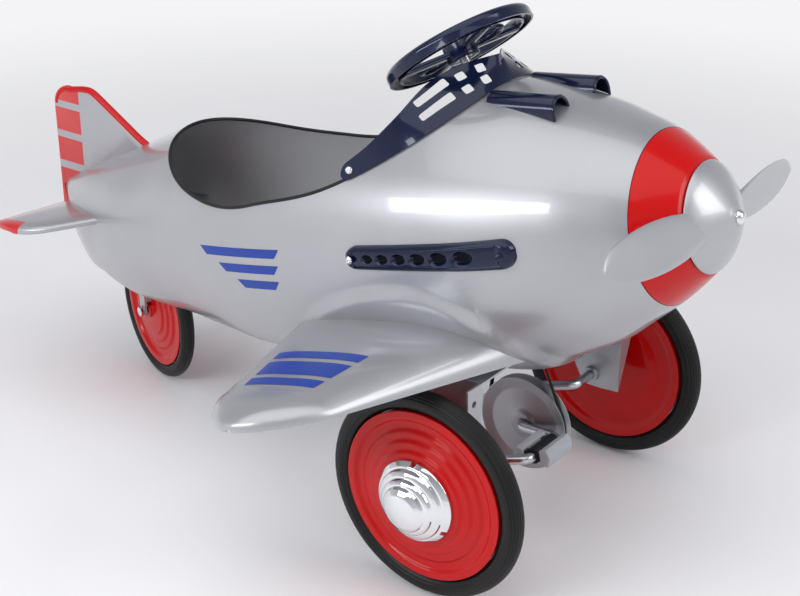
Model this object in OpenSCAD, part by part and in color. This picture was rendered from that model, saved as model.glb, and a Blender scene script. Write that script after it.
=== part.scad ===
// Child's pressed-steel pedal plane. +X points to the nose, +Y to the left wing, +Z up.
// The origin lies on the floor under the middle of the bounding box.

/* [Stance] */
// Length from the spinner nut to the back of the rudder
total_len = 1048; // [1000:1:1100]
// Height of the nose tip above the floor
nose_h = 454; // [448:1:460]
// Nose-up tilt of the fuselage on its wheels
tilt = 13.5; // [13:0.25:14]

/* [Fuselage] */
// Thickness of the fuselage and wing sheet
wall = 1.6; // [1.2:0.1:2]
// Half width of the fuselage at its widest station
body_half = 172; // [166:1:176]
// Distance from the nose tip to the seam between cowl and fuselage
cowl_seam = 83; // [80:1:88]
// Distance from the nose tip to the front of the cowl
cowl_front = 40; // [39:0.5:44]
// Gap between parts that only lie against each other
seat_gap = 0.3; // [0.2:0.05:0.4]

/* [Openings] */
// Distance from the nose tip to the front of the cockpit opening
pit_front = 268; // [266:1:270]
// Distance from the nose tip to the widest place of the cockpit opening
pit_mid = 540; // [520:1:560]
// Distance from the nose tip to the back of the cockpit opening
pit_rear = 772; // [765:1:776]
// Half width of the cockpit opening
pit_half = 159.5; // [156:0.5:160]
// Distance from the nose tip to the front of the leg opening in the belly
belly_front = 250; // [246:1:256]
// Distance from the nose tip to the back of the leg opening
belly_rear = 600; // [580:1:620]
// Half width of the leg opening
belly_half = 84; // [78:1:88]
// Reach of the tail wheel's opening ahead of its middle
well_fore = 112; // [111:1:114]
// Reach of the tail wheel's opening behind its middle
well_aft = 108; // [107:1:110]
// Half width of the tail wheel's opening
well_half = 50; // [49:0.5:52]

/* [Wings] */
// Half of the wing span
wing_half = 405; // [390:1:420]
// Distance from the nose tip to the leading edge at the wing root
wing_le = 228; // [222:1:234]
// Distance from the nose tip to the trailing edge at the wing root
wing_te = 567; // [560:1:575]
// Depth of the pressed wing at its root
wing_depth = 74; // [68:1:78]
// Depth of the pressed wing at its tip
wing_tip_depth = 26; // [22:1:30]
// Half of the stabilizer's span
stab_half = 150; // [142:1:158]
// Thickness of the stabilizer
stab_thick = 20; // [16:1:22]
// Thickness of the fin
fin_thick = 10; // [8:0.5:12]
// Height of the top of the fin above the floor
fin_h = 399; // [394:1:404]

/* [Windshield] */
// Distance from the nose tip to the front foot of the windshield
shield_front = 261; // [259:0.5:263]
// Half width of the windshield's foot curve
shield_half = 160.5; // [160:0.5:162]
// Height of the windshield's peak above the fuselage axis
shield_top = 187; // [182:1:190]
// Outer radius of a gun trough
trough_r = 15; // [13:0.5:16]
// Distance of a gun trough from the centre line
trough_y = 42; // [38:1:45]

/* [Front wheels and crank] */
// Distance from the nose tip back to the front axle
axle_back = 255; // [252:1:258]
// Radius of the front tyres
wheel_r = 127; // [124:0.5:130]
// Distance between the middles of the front tyres
track = 404; // [398:1:410]
// Radius of the rubber section of the front tyres
tyre_sec = 12.5; // [11.5:0.25:13.5]
// Radius of the crank axle
axle_r = 6; // [5.5:0.25:6.5]
// Throw of the pedal cranks
crank_throw = 58; // [54:1:60]
// Turn of the crank as it stands, right pedal up
crank_turn = 7; // [0:1:12]
// Distance of the axle hangers from the centre line
hanger_y = 156; // [152:1:158]
// Radial running clearance of shafts in their bushes
run_gap = 0.08; // [0.05:0.01:0.1]

/* [Propeller drive] */
// Radius of the propeller to its blade tips
prop_r = 205; // [190:1:212]
// Radius of the spinner at its base
spinner_r = 60; // [57:0.5:61]
// Depth of the spinner dome
spinner_len = 32; // [28:0.5:32.5]
// Radius of the propeller shaft
shaft_r = 5; // [4.5:0.25:6]
// Distance from the nose tip to the shaft pulley
shaft_pulley_d = 303; // [300:1:308]
// Outer radius of the drive pulley on the crank
pulley_r = 59; // [55:0.5:62]
// Outer radius of the pulley on the propeller shaft
small_r = 17; // [15:0.5:19]
// Radius of the round belt
belt_r = 2.5; // [2:0.25:3]

/* [Steering] */
// Distance from the nose tip back to the steering wheel's hub
hub_back = 362; // [358:1:366]
// Height of the steering wheel's hub above the floor
hub_h = 571; // [566:1:576]
// Lean of the steering column from upright
col_tilt = 38; // [37:0.5:39]
// Sideways lean of the steering column, which takes it past the propeller shaft
col_lean = 4.5; // [3.5:0.25:5]
// Radius of the steering wheel to the middle of its rim
rim_mid = 82; // [78:1:84]
// Radius of the steering column rod
col_r = 6; // [5.5:0.25:6.5]
// Sideways joggle of the column where the tie rod hooks on
joggle = 36; // [34:1:37]
// Radius of the tie rod
tie_r = 4; // [3:0.25:4.5]

/* [Tail wheel] */
// Distance from the nose tip back to the tail wheel's axle
tail_back = 872; // [869:1:875]
// Radius of the tail tyre
tail_r = 101.6; // [100:0.2:102.6]
// Radius of the rubber section of the tail tyre
tail_sec = 10; // [9:0.25:11]
// Radius of the fork stem
stem_r = 7; // [6.5:0.25:8]
// Turn of the tail wheel as it stands
steer_now = -20; // [-22:1:22]

/* [Hidden] */
$fn = 48;
nose_x = total_len / 2;
axle_x = nose_x - axle_back;
tail_x = nose_x - tail_back;
hub_x = nose_x - hub_back;
tail_end = (total_len - 13.4) / cos(tilt);
loft_steps = 48;

// Stations of the fuselage: distance from the nose tip, height above the axis,
// depth below the axis, and half width
full = body_half;
stations = [
    [0, 22, 22, 22],
    [40, 61, 61, 61],
    [83, 95, 95, 95],
    [120, 113, 118, 116],
    [160, 129, 141, 135],
    [240, 152, 165, 160],
    [320, 165, 173, 169],
    [430, 174, 178, full],
    [540, 172, 176, full - 1],
    [640, 158, 168, 160],
    [720, 138, 152, 140],
    [tail_end - 264, 116, 137, 116],
    [tail_end - 184, 96, 127, 94],
    [tail_end - 124, 82, 119, 72],
    [tail_end - 64, 67, 103, 46],
    [tail_end - 19, 54, 62, 18],
    [tail_end, 46, 40, 1.2]
];

function clamp01(t) = max(0, min(1, t));
function mix(a, b, t) = a + (b - a) * t;
function span_of(tab, d, i = 0) = i >= len(tab) - 2 || d < tab[i + 1][0] ? i : span_of(tab, d, i + 1);
function slope_at(tab, i, c) =
    let (lo = max(0, i - 1), hi = min(len(tab) - 1, i + 1))
    (tab[hi][c] - tab[lo][c]) / (tab[hi][0] - tab[lo][0]);

// Smooth curve through one column of a table of stations
function fair_in(tab, d, c) =
    let (i = span_of(tab, d), h = tab[i + 1][0] - tab[i][0], t = (d - tab[i][0]) / h)
    tab[i][c] * (2 * t^3 - 3 * t^2 + 1) + slope_at(tab, i, c) * h * (t^3 - 2 * t^2 + t)
    + tab[i + 1][c] * (3 * t^2 - 2 * t^3) + slope_at(tab, i + 1, c) * h * (t^3 - t^2);
function fair(d, c) = fair_in(stations, d, c);

function half_w(d) = fair(d, 3);
function height_at(d, a) = cos(a) > 0 ? fair(d, 1) : fair(d, 2);
// Point of the skin at distance d, turned a degrees from the top over the right side, moved out by g
function skin(d, a, g) = [-d, -max(0.3, half_w(d) + g) * sin(a), (height_at(d, a) + g) * cos(a)];
// Half width of the skin at height v
function skin_y(d, v) = half_w(d) * sqrt(max(0.01, 1 - (v / fair(d, v > 0 ? 1 : 2))^2));
// Height of the top of the skin at distance y from the centre line
function skin_top(d, y) = fair(d, 1) * sqrt(max(0.01, 1 - (y / half_w(d))^2));

// Half width of a rounded opening
function oval(d, a, mid, b, half, e) =
    d <= a || d >= b ? 0 : half * (1 - abs((d - mid) / (d < mid ? mid - a : b - mid))^e)^(1 / e);
well_mid = tail_back * cos(tilt) + (nose_h - 1.5 * tail_r) * sin(tilt);
function pit(d) = oval(d, pit_front, pit_mid, pit_rear, pit_half, d < pit_mid ? 2.6 : 2.1);
function belly(d) = oval(d, belly_front, (belly_front + belly_rear) / 2, belly_rear, belly_half, 3.5);
function well(d) = oval(d, well_mid - well_fore, well_mid, well_mid + well_aft, well_half, 5);
function top_angle(d) = asin(min(0.97, pit(d) / half_w(d)));
function low_angle(d) = 180 - asin(min(0.9, (belly(d) + well(d)) / half_w(d)));

function sorted(v) =
    len(v) < 2 ? v
    : concat(sorted([for (x = v) if (x < v[0] - 1.5) x]), [v[0]], sorted([for (x = v) if (x > v[0] + 1.5) x]));
function near_end(e, way, reach) = [for (k = [0:5]) e + way * reach * (k / 5)^2];
shell_stops = sorted(concat(
    [cowl_seam, cowl_seam + 8, cowl_seam + 16, tail_end],
    near_end(pit_front, 1, 36),
    near_end(pit_rear, -1, 60),
    near_end(belly_front, 1, 30),
    near_end(belly_rear, -1, 30),
    near_end(well_mid - well_fore, 1, 24),
    near_end(well_mid + well_aft, -1, 24),
    [for (d = [cowl_seam + 32:40:tail_end - 20]) d],
    [tail_end - 10, tail_end - 22]
));

// Solid between two grids of points that share their edges' order
module between(outer, inner) {
    n = len(outer);
    m = len(outer[0]);
    base = n * m;
    function at(i, j) = i * m + j;
    points = concat([for (row = outer) each row], [for (row = inner) each row]);
    skin_faces = [
        for (i = [0:n - 2]) for (j = [0:m - 2]) each [
            [at(i, j), at(i + 1, j), at(i + 1, j + 1)],
            [at(i, j), at(i + 1, j + 1), at(i, j + 1)],
            [base + at(i, j), base + at(i + 1, j + 1), base + at(i + 1, j)],
            [base + at(i, j), base + at(i, j + 1), base + at(i + 1, j + 1)]
        ]
    ];
    side_faces = [
        for (i = [0:n - 2]) each [
            [at(i, 0), base + at(i, 0), base + at(i + 1, 0)],
            [at(i, 0), base + at(i + 1, 0), at(i + 1, 0)],
            [at(i, m - 1), at(i + 1, m - 1), base + at(i + 1, m - 1)],
            [at(i, m - 1), base + at(i + 1, m - 1), base + at(i, m - 1)]
        ]
    ];
    end_faces = [
        for (j = [0:m - 2]) each [
            [at(0, j), at(0, j + 1), base + at(0, j + 1)],
            [at(0, j), base + at(0, j + 1), base + at(0, j)],
            [at(n - 1, j), base + at(n - 1, j), base + at(n - 1, j + 1)],
            [at(n - 1, j), base + at(n - 1, j + 1), at(n - 1, j + 1)]
        ]
    ];
    polyhedron(points, concat(skin_faces, side_faces, end_faces), convexity = 8);
}

// Closed solid inside the fuselage skin between two stations, moved out by g
module hull_block(d0, d1, g, steps) {
    turn = 360 / loft_steps;
    rings = [for (i = [0:steps]) [for (k = [0:loft_steps - 1]) skin(mix(d0, d1, i / steps), k * turn, g)]];
    m = loft_steps;
    points = [for (r = rings) each r];
    walls = [
        for (i = [0:steps - 1]) for (k = [0:m - 1]) each [
            [i * m + k, (i + 1) * m + (k + 1) % m, (i + 1) * m + k],
            [i * m + k, i * m + (k + 1) % m, (i + 1) * m + (k + 1) % m]
        ]
    ];
    front = [for (k = [0:m - 1]) m - 1 - k];
    back = [for (k = [0:m - 1]) steps * m + k];
    polyhedron(points, concat(walls, [front, back]), convexity = 4);
}

// Clearance of pieces that are cut to sit on the outside of the skin
trim_gap = seat_gap + 0.4;

// The fuselage's own frame: origin at the nose tip, +X forward along its axis
module in_body() {
    translate([nose_x, 0, nose_h]) rotate([0, -tilt, 0]) children();
}
// Frame with +Z running aft along the fuselage axis
module on_axis() {
    in_body() rotate([0, -90, 0]) children();
}
// Frame of the steering column: origin at the hub, +Z up along the column
module on_column() {
    translate([hub_x, 0, hub_h]) rotate([-col_lean, -col_tilt, 0]) children();
}
module left_of() {
    mirror([0, 1, 0]) children();
}
// Round bar from point a to point b
module bar(a, b, r) {
    way = b - a;
    translate(a) rotate([0, acos(way[2] / norm(way)), atan2(way[1], way[0])]) cylinder(h = norm(way), r = r);
}
function unit(v) = v / norm(v);
function bend_angle(a, b) = acos(a * b);
// Rod bent round a radius at each inner point of a path, a little full where it is bent
module bent_rod(path, r, bend) {
    last = len(path) - 1;
    way = [for (i = [0:last - 1]) unit(path[i + 1] - path[i])];
    trim = [for (i = [0:last]) i == 0 || i == last ? 1 : bend * tan(bend_angle(way[i - 1], way[i]) / 2)];
    for (i = [0:last - 1]) bar(path[i] + way[i] * (trim[i] - 1), path[i + 1] - way[i] * (trim[i + 1] - 1), r);
    for (i = [1:last - 1]) {
        z = unit(cross(way[i - 1], way[i]));
        y = way[i - 1];
        x = cross(y, z);
        c = path[i] - y * trim[i] - x * bend;
        multmatrix([[x[0], y[0], z[0], c[0]], [x[1], y[1], z[1], c[1]], [x[2], y[2], z[2], c[2]]])
            rotate_extrude(angle = bend_angle(way[i - 1], way[i])) translate([bend, 0]) circle(r = r * 1.04);
    }
}
module ring(r_out, r_in, h) {
    difference() {
        cylinder(h = h, r = r_out);
        translate([0, 0, -1]) cylinder(h = h + 2, r = r_in);
    }
}

silver = "#b4b6ba";
red = "#c81414";
blue = "#1b2a52";
chrome = "#d8dadc";
black = "#1a1a1a";
steel = "#9a9da2";

// Fuselage

skin_steps = 16;
module half_shell() {
    outer = [for (d = shell_stops) [for (k = [0:skin_steps]) skin(d, mix(top_angle(d), low_angle(d), k / skin_steps), 0)]];
    inner = [for (d = shell_stops)
        [for (k = [0:skin_steps]) skin(d, mix(top_angle(d), low_angle(d), k / skin_steps), -wall)]];
    in_body() between(outer, inner);
}
module fuselage_right() {
    color(silver) half_shell();
}
module fuselage_left() {
    color(silver) left_of() half_shell();
}

// Nose cowl with its sleeve inside the fuselage and a bulkhead for the shaft's front bush
bush_r = 9;
sleeve_len = 14;
module nose_cowl() {
    outer = [for (k = [0:6]) mix(cowl_front, cowl_seam - seat_gap, k / 6)];
    sleeve = [cowl_seam - seat_gap, cowl_seam + sleeve_len];
    lip = wall + 1.3;
    color(red) on_axis() rotate_extrude() polygon(concat(
        [[bush_r, cowl_front], [half_w(cowl_front), cowl_front]],
        [for (d = outer) if (d > cowl_front) [half_w(d), d]],
        [for (d = sleeve) [half_w(d) - lip, d]],
        [for (k = [6:-1:1]) let (d = mix(cowl_front + wall, sleeve[1], k / 6)) [half_w(d) - lip - wall, d]],
        [[half_w(cowl_front) - lip - wall, cowl_front + wall], [bush_r, cowl_front + wall]]
    ));
}
bush_len = 16;
module nose_bush() {
    color("#b08d4a") on_axis() translate([0, 0, cowl_front + wall]) union() {
        ring(bush_r + 5, shaft_r + run_gap, 3);
        translate([0, 0, -wall]) ring(bush_r, shaft_r + run_gap, bush_len);
    }
}

// Wings: hollow pressings with a rounded edge, open below

wing_root = 80;
wing_turn = 330;
wing_sweep = 0.34;
wing_rake = 0.366;
wing_low = 138;
wing_dihedral = 0.105;
function wing_mid(q) = (wing_le + (q - wing_root) * wing_sweep + wing_te - (q - wing_root) * wing_rake) / 2;
function wing_chord(q) = (wing_te - wing_le - (q - wing_root) * (wing_sweep + wing_rake)) / 2;
function wing_end(q, tip) = q < wing_turn ? 0 : (q - wing_turn) / (tip - wing_turn);
function wing_point(s, c, g) =
    let (tip = wing_half - g)
    let (q = mix(wing_root - 12, tip - 0.15, 1 - (1 - s)^1.7))
    let (u = wing_end(q, tip))
    let (depth = (mix(wing_depth, wing_tip_depth, clamp01((q - wing_root) / (wing_turn - wing_root))) - g) * (1 - u^2)^0.4)
    [
        -(wing_mid(q) + (wing_chord(q) - g) * (1 - u^2)^0.5 * c),
        -q,
        -wing_low + (q - wing_root) * wing_dihedral + depth * (1 - abs(c)^3)^0.45
    ];
wing_spans = 14;
wing_chords = 14;
function wing_grid(g) = [for (i = [0:wing_spans]) [for (j = [0:wing_chords])
    wing_point(i / wing_spans, -cos(180 * j / wing_chords), g)]];
module wing() {
    in_body() difference() {
        between(wing_grid(0), wing_grid(wall));
        hull_block(wing_le - 40, wing_te + 30, trim_gap, 18);
    }
}
module wing_right() {
    color(silver) wing();
}
module wing_left() {
    color(silver) left_of() wing();
}

// Tail surfaces

stab_level = 18;
stab_rise = 0.08;
stab_cock = 5;
stab_front = tail_end - 159;
stab_back = tail_end - 3;
stab_sweep = 0.75;
stab_turn = 126;
function stab_point(s, c, side) =
    let (q = mix(8, stab_half - 0.6, 1 - (1 - s)^1.6))
    let (u = q < stab_turn ? 0 : (q - stab_turn) / (stab_half - stab_turn))
    let (lead = stab_front + max(0, q - 60) * stab_sweep, trail = stab_back)
    let (thick = stab_thick / 2 * mix(1, 0.7, q / stab_half) * (1 - u^2.6)^0.4)
    [
        -((lead + trail) / 2 + (trail - lead) / 2 * (1 - u^2.6)^0.5 * c),
        -q,
        stab_level + (q - 80) * stab_rise + c * stab_cock + side * (0.6 + thick * (1 - abs(c)^3)^0.5)
    ];
stab_steps = 8;
function stab_grid(side) = [for (i = [0:stab_steps]) [for (j = [0:stab_steps])
    stab_point(i / stab_steps, -cos(180 * j / stab_steps), side)]];
module stabilizer() {
    in_body() difference() {
        between(stab_grid(1), stab_grid(-1));
        hull_block(stab_front - 30, tail_end, trim_gap, 14);
    }
}
module stabilizer_right() {
    color(silver) stabilizer();
}
module stabilizer_left() {
    color(silver) left_of() stabilizer();
}

// Fin and rudder in one pressing; its outline is drawn at distances from the rudder's back edge
fin_round = 30;
module tail_fin() {
    back = -nose_x;
    rear_low = 216;
    top = [for (a = [100:-20:0]) [back + fin_round - fin_round * sin(90 - a), fin_h - fin_round + fin_round * sin(a)]];
    color(silver) difference() {
        translate([0, fin_thick / 2, 0]) rotate([90, 0, 0]) linear_extrude(height = fin_thick) polygon(concat(
            [[back + 196, 318], [back + 184, 346], [back + 162, 356], [back + 142, 368], [back + 86, 400],
                [back + 76, fin_h + 5.5], [back + 62, fin_h + 5]],
            top,
            [[back, rear_low], [back + 12, 196]]
        ));
        in_body() hull_block(tail_end - 230, tail_end, trim_gap, 16);
    }
}

// Windshield: a raked sheet round the front of the cockpit, with two rows of windows

shield_a = pit_mid - shield_front;
shield_rear = 402;
shield_end = acos(((pit_mid - shield_rear) / shield_a)^1.3);
sheet = 1.6;
// Upper edge of the windshield: turn round the foot curve, distance from the nose tip, half width, height
shield_tops = [
    [0, 271, 0, shield_top],
    [15, 298, 41, shield_top - 3],
    [30, 319, 76, shield_top - 14],
    [46, 337, 120, shield_top - 40],
    [56, 366, 138, shield_top - 64],
    [shield_end, 402, 149, shield_top - 85]
];
function signed_pow(x, e) = sign(x) * abs(x)^e;
// Foot of the windshield at turn f on the skin, and the way it faces, seen from above the fuselage
function shield_foot(f) =
    let (d = pit_mid - shield_a * cos(f)^(1 / 1.3), y = -shield_half * signed_pow(sin(f), 1 / 1.3))
    [-d, y, skin_top(d, y) + seat_gap + 0.6];
function shield_edge(f) = [
    -fair_in(shield_tops, abs(f), 1), -sign(f) * fair_in(shield_tops, abs(f), 2), fair_in(shield_tops, abs(f), 3)
];
function shield_mid(f, t) = mix(shield_foot(f), shield_edge(f), t);
// Direction straight out of the sheet at turn f
function shield_way(f) =
    let (along = shield_mid(f - 1, 0.5) - shield_mid(f + 1, 0.5), up = shield_edge(f) - shield_foot(f))
    let (n = cross(along, up))
    n / norm(n);
function shield_point(f, t, g) = shield_mid(f, t) + g * shield_way(f);
shield_turns = 28;
function shield_grid(g) = [for (i = [0:shield_turns]) let (f = mix(shield_end, -shield_end, i / shield_turns))
    [for (j = [0:3]) shield_point(f, j / 3, g)]];
// One window through the sheet at turn f, of a width and height, at a share of the sheet's height
module window(f, t, w, h) {
    x = unit(shield_mid(f - 1, t) - shield_mid(f + 1, t));
    y = unit(cross(shield_way(f), x));
    z = cross(x, y);
    p = shield_mid(f, t);
    multmatrix([
        [x[0], y[0], z[0], p[0]],
        [x[1], y[1], z[1], p[1]],
        [x[2], y[2], z[2], p[2]]
    ]) cube([w, h, 20], center = true);
}
module windshield() {
    color(blue) in_body() difference() {
        between(shield_grid(sheet), shield_grid(0));
        for (side = [-1, 1]) {
            for (f = [8.5, 16.5]) window(side * f, 0.37, 12, 11);
            for (f = [8.5, 16.5]) window(side * f, 0.74, 12, 11);
            window(side * 30, 0.42, 45, 12);
            window(side * 30, 0.77, 45, 12);
        }
    }
}
screw_head = 4.5;
module dome_head(r) {
    rotate_extrude() polygon([[0, 0], [r, 0], [r, 0.8], [r * 0.8, 2], [r * 0.4, 2.8], [0, 3]]);
}
// Turns +Z to lie along a direction
module facing(way) {
    rotate([0, acos(way[2] / norm(way)), atan2(way[1], way[0])]) children();
}
module shield_screw() {
    f = shield_end - 3;
    in_body() translate(shield_point(f, 0.5, sheet + seat_gap)) facing(shield_way(f)) dome_head(screw_head);
}
module windshield_screws() {
    color(chrome) shield_screw();
    color(chrome) left_of() shield_screw();
}

// Gun troughs: arched covers on the cowl deck in front of the windshield

trough_front = 175;
trough_top = 145.5;
trough_fall = 5.7;
module trough() {
    long = shield_front - trough_front - 2.5;
    axis_v = trough_top - trough_r + long * sin(trough_fall);
    in_body() difference() {
        translate([-trough_front - long, -trough_y, axis_v]) rotate([0, 90 + trough_fall, 0]) difference() {
            union() {
                cylinder(h = long, r = trough_r);
                translate([0, -trough_r, 0]) cube([24, 2 * trough_r, long]);
            }
            translate([0, 0, -1]) cylinder(h = long + 2, r = trough_r - sheet);
            translate([0, sheet - trough_r, -1]) cube([25, 2 * (trough_r - sheet), long + 2]);
        }
        hull_block(trough_front - 20, trough_front + long + 20, trim_gap, 8);
    }
}
module gun_trough_right() {
    color(blue) trough();
}
module gun_trough_left() {
    color(blue) left_of() trough();
}

// Exhaust stacks: a raised panel along each side of the nose

stack_front = 188;
stack_back = 396;
stack_level = 6;
stack_half_front = 16.5;
stack_half_back = 13;
stack_proud = 11;
stack_steps = 18;
function stack_half(t) =
    mix(stack_half_front, stack_half_back, t) * (1 - max(0, abs(2 * t - 1) - 0.86)^2 / 0.021)^0.5;
function stack_point(t, c, g) =
    let (d = mix(stack_front, stack_back, t), v = stack_level + c * stack_half(t))
    [-d, -(skin_y(d, v) + seat_gap + g), v];
function stack_rise(t, c) = 1 + (stack_proud - 1) * (1 - c^4)^0.5 * (1 - (2 * t - 1)^20)^0.5;
function stack_grid(raised) = [for (i = [0:stack_steps]) let (t = (1 - cos(180 * i / stack_steps)) / 2)
    [for (j = [0:6]) let (c = 1 - j / 3)
        stack_point(t, c, raised ? stack_rise(t, c) : 0)]];
module exhaust() {
    in_body() between(stack_grid(true), stack_grid(false));
}
module exhaust_right() {
    color(blue) exhaust();
}
module exhaust_left() {
    color(blue) left_of() exhaust();
}
function stack_top(t, c) = stack_point(t, c, stack_rise(t, c));
stack_lift = seat_gap + 0.3;
module stack_screws() {
    for (t = [0.06, 0.95]) {
        way = unit(cross(stack_top(t, -0.2) - stack_top(t, 0.2), stack_top(t - 0.02, 0) - stack_top(t + 0.02, 0)));
        in_body() translate(stack_top(t, 0) + way * stack_lift) facing(way) dome_head(screw_head);
    }
}
module exhaust_screws() {
    color(chrome) stack_screws();
    color(chrome) left_of() stack_screws();
}

// Axle hangers: folded sheet channels under the wing roots

hanger_sheet = 2.5;
hanger_front = 38;
hanger_fold = 24;
hanger_top = 256;
hanger_low = 110;
axle_bush_r = 10;
tow_hole_r = 4;
tow_hole_h = 236;
module hanger() {
    reach = hanger_y - 80;
    translate([axle_x, 0, 0]) difference() {
        union() {
            translate([0, hanger_sheet - hanger_y, 0]) rotate([90, 0, 0]) linear_extrude(height = hanger_sheet) polygon([
                [hanger_front, hanger_low + 2], [12, hanger_low], [-12, hanger_low], [-30, 144], [-38, 190],
                [-38, hanger_top], [hanger_front, hanger_top]
            ]);
            translate([hanger_front - hanger_sheet, 0, 0]) rotate([90, 0, 90]) linear_extrude(height = hanger_sheet) polygon([
                [hanger_sheet - hanger_y, hanger_low + 2], [hanger_sheet - hanger_y, hanger_top],
                [-hanger_y - hanger_fold, hanger_top], [-hanger_y - hanger_fold, 180], [-hanger_y, hanger_low + 2]
            ]);
            translate([-38, -hanger_y, hanger_top - hanger_sheet]) cube([38 + hanger_front, reach, hanger_sheet]);
        }
        translate([0, -hanger_y - 1, wheel_r]) rotate([-90, 0, 0]) cylinder(h = hanger_sheet + 2, r = axle_bush_r);
        translate([hanger_front - hanger_sheet - 1, -hanger_y - hanger_fold / 2, tow_hole_h])
            rotate([0, 90, 0]) cylinder(h = hanger_sheet + 2, r = tow_hole_r);
        translate([-axle_x, 0, 0]) in_body() hull_block(180, 350, trim_gap, 10);
    }
}
module axle_hanger_right() {
    color(silver) hanger();
}
module axle_hanger_left() {
    color(silver) left_of() hanger();
}
bush_flange = 3;
module axle_bush() {
    translate([axle_x, -hanger_y - bush_flange, wheel_r]) rotate([-90, 0, 0]) {
        ring(axle_bush_r + 4, axle_r + run_gap, bush_flange);
        ring(axle_bush_r, axle_r + run_gap, bush_flange + hanger_sheet + 6);
    }
}
module axle_bushes() {
    color(steel) axle_bush();
    color(steel) left_of() axle_bush();
}

// Crank axle with two opposed throws

wheel_y = track / 2;
axle_end = wheel_y + 30;
pin_in = 22;
pin_out = 84;
throw_in = 8;
throw_out = 30;
module crank_axle() {
    path = [
        [0, -axle_end, 0], [0, -pin_out - throw_out, 0], [crank_throw, -pin_out, 0], [crank_throw, -pin_in, 0],
        [0, throw_in - pin_in, 0], [0, pin_in - throw_in, 0], [-crank_throw, pin_in, 0],
        [-crank_throw, pin_out, 0], [0, pin_out + throw_out, 0], [0, axle_end, 0]
    ];
    color(chrome) translate([axle_x, 0, wheel_r]) rotate([0, -crank_turn, 0]) bent_rod(path, axle_r, 10);
}

// Drive pulley of two dished discs with a groove for the round belt
pulley_half = 8;
groove_r = pulley_r - 11;
groove_half = 6;
module drive_pulley() {
    color(steel) translate([axle_x, 0, wheel_r]) rotate([90, 0, 0]) rotate_extrude() polygon([
        [axle_r, -pulley_half], [14, -pulley_half], [18, -4], [groove_r - 3, -3],
        [pulley_r, -groove_half - 1.5], [pulley_r, -groove_half], [groove_r, 0],
        [pulley_r, groove_half], [pulley_r, groove_half + 1.5],
        [groove_r - 3, 3], [18, 4], [14, pulley_half], [axle_r, pulley_half]
    ]);
}

// Round belt: up from the drive pulley, a quarter turn, and over the shaft pulley

belt_gap = 0.4;
small_groove = small_r - 8.5;
small_half = 5.5;
belt_run = groove_r + (belt_r + belt_gap) / sin(atan2(groove_half, pulley_r - groove_r));
small_run = small_groove + (belt_r + belt_gap) / sin(atan2(small_half, small_r - small_groove));
shaft_mid = [nose_x - shaft_pulley_d * cos(tilt), 0, nose_h - shaft_pulley_d * sin(tilt)];
up_way = [-sin(tilt), 0, cos(tilt)];
belt_lift = 22;
function low_arc(a) = [axle_x + belt_run * cos(a), 0, wheel_r + belt_run * sin(a)];
function high_arc(a) = shaft_mid + small_run * (up_way * sin(a) - [0, cos(a), 0]);
belt_path = concat(
    [high_arc(0) - 14 * up_way],
    [for (k = [0:8]) high_arc(180 * k / 8)],
    [high_arc(180) - 14 * up_way],
    [for (k = [0:16]) low_arc(180 - 4 + (180 + belt_lift + 4) * k / 16)]
);
// Closed round tube through a loop of points
module loop_tube(path, r, sides) {
    n = len(path);
    rings = [for (i = [0:n - 1])
        let (t = path[(i + 1) % n] - path[(i + n - 1) % n])
        let (w = t / norm(t))
        let (u0 = cross(w, [0.3, 1, 0.1]))
        let (u = u0 / norm(u0), v = cross(w, u))
        [for (k = [0:sides - 1]) path[i] + r * (u * cos(360 * k / sides) + v * sin(360 * k / sides))]];
    faces = [for (i = [0:n - 1]) for (k = [0:sides - 1])
        let (a = i * sides + k, b = i * sides + (k + 1) % sides)
        let (c = ((i + 1) % n) * sides + k, e = ((i + 1) % n) * sides + (k + 1) % sides)
        each [[a, c, b], [b, c, e]]];
    polyhedron([for (r = rings) each r], faces, convexity = 6);
}
module drive_belt() {
    color(black) loop_tube(belt_path, belt_r, 8);
}

// Front wheels: rubber tyre on a pressed disc with stepped rings, and a hubcap

rim_r = wheel_r - 2 * tyre_sec;
disc_sheet = 1.5;
module on_wheel() {
    translate([axle_x, -wheel_y, wheel_r]) rotate([90, 0, 0]) children();
}
module tyre() {
    on_wheel() rotate_extrude() translate([wheel_r - tyre_sec, 0]) circle(r = tyre_sec);
}
module pressed(profile, t) {
    back = [for (k = [len(profile) - 1:-1:0]) profile[k] - [0, t]];
    rotate_extrude() polygon(concat(profile, back));
}
hub_r = 13;
hub_len = 28;
face_out = 20;
module wheel_disc() {
    face = [
        [hub_r - 1, face_out], [56, face_out], [60, face_out - 4], [67, face_out - 4], [71, face_out - 8],
        [78, face_out - 8], [82, face_out - 12], [90, face_out - 12], [94, face_out - 8], [rim_r + 1, face_out - 9]
    ];
    rear = [[hub_r - 1, -10], [62, -10], [70, -8], [88, -8], [94, -11], [rim_r + 1, -12]];
    on_wheel() union() {
        pressed(face, disc_sheet);
        pressed([for (p = rear) p + [0, disc_sheet]], disc_sheet);
        translate([0, 0, -12]) ring(rim_r - seat_gap, rim_r - seat_gap - disc_sheet, face_out + 2.5);
    }
}
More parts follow.
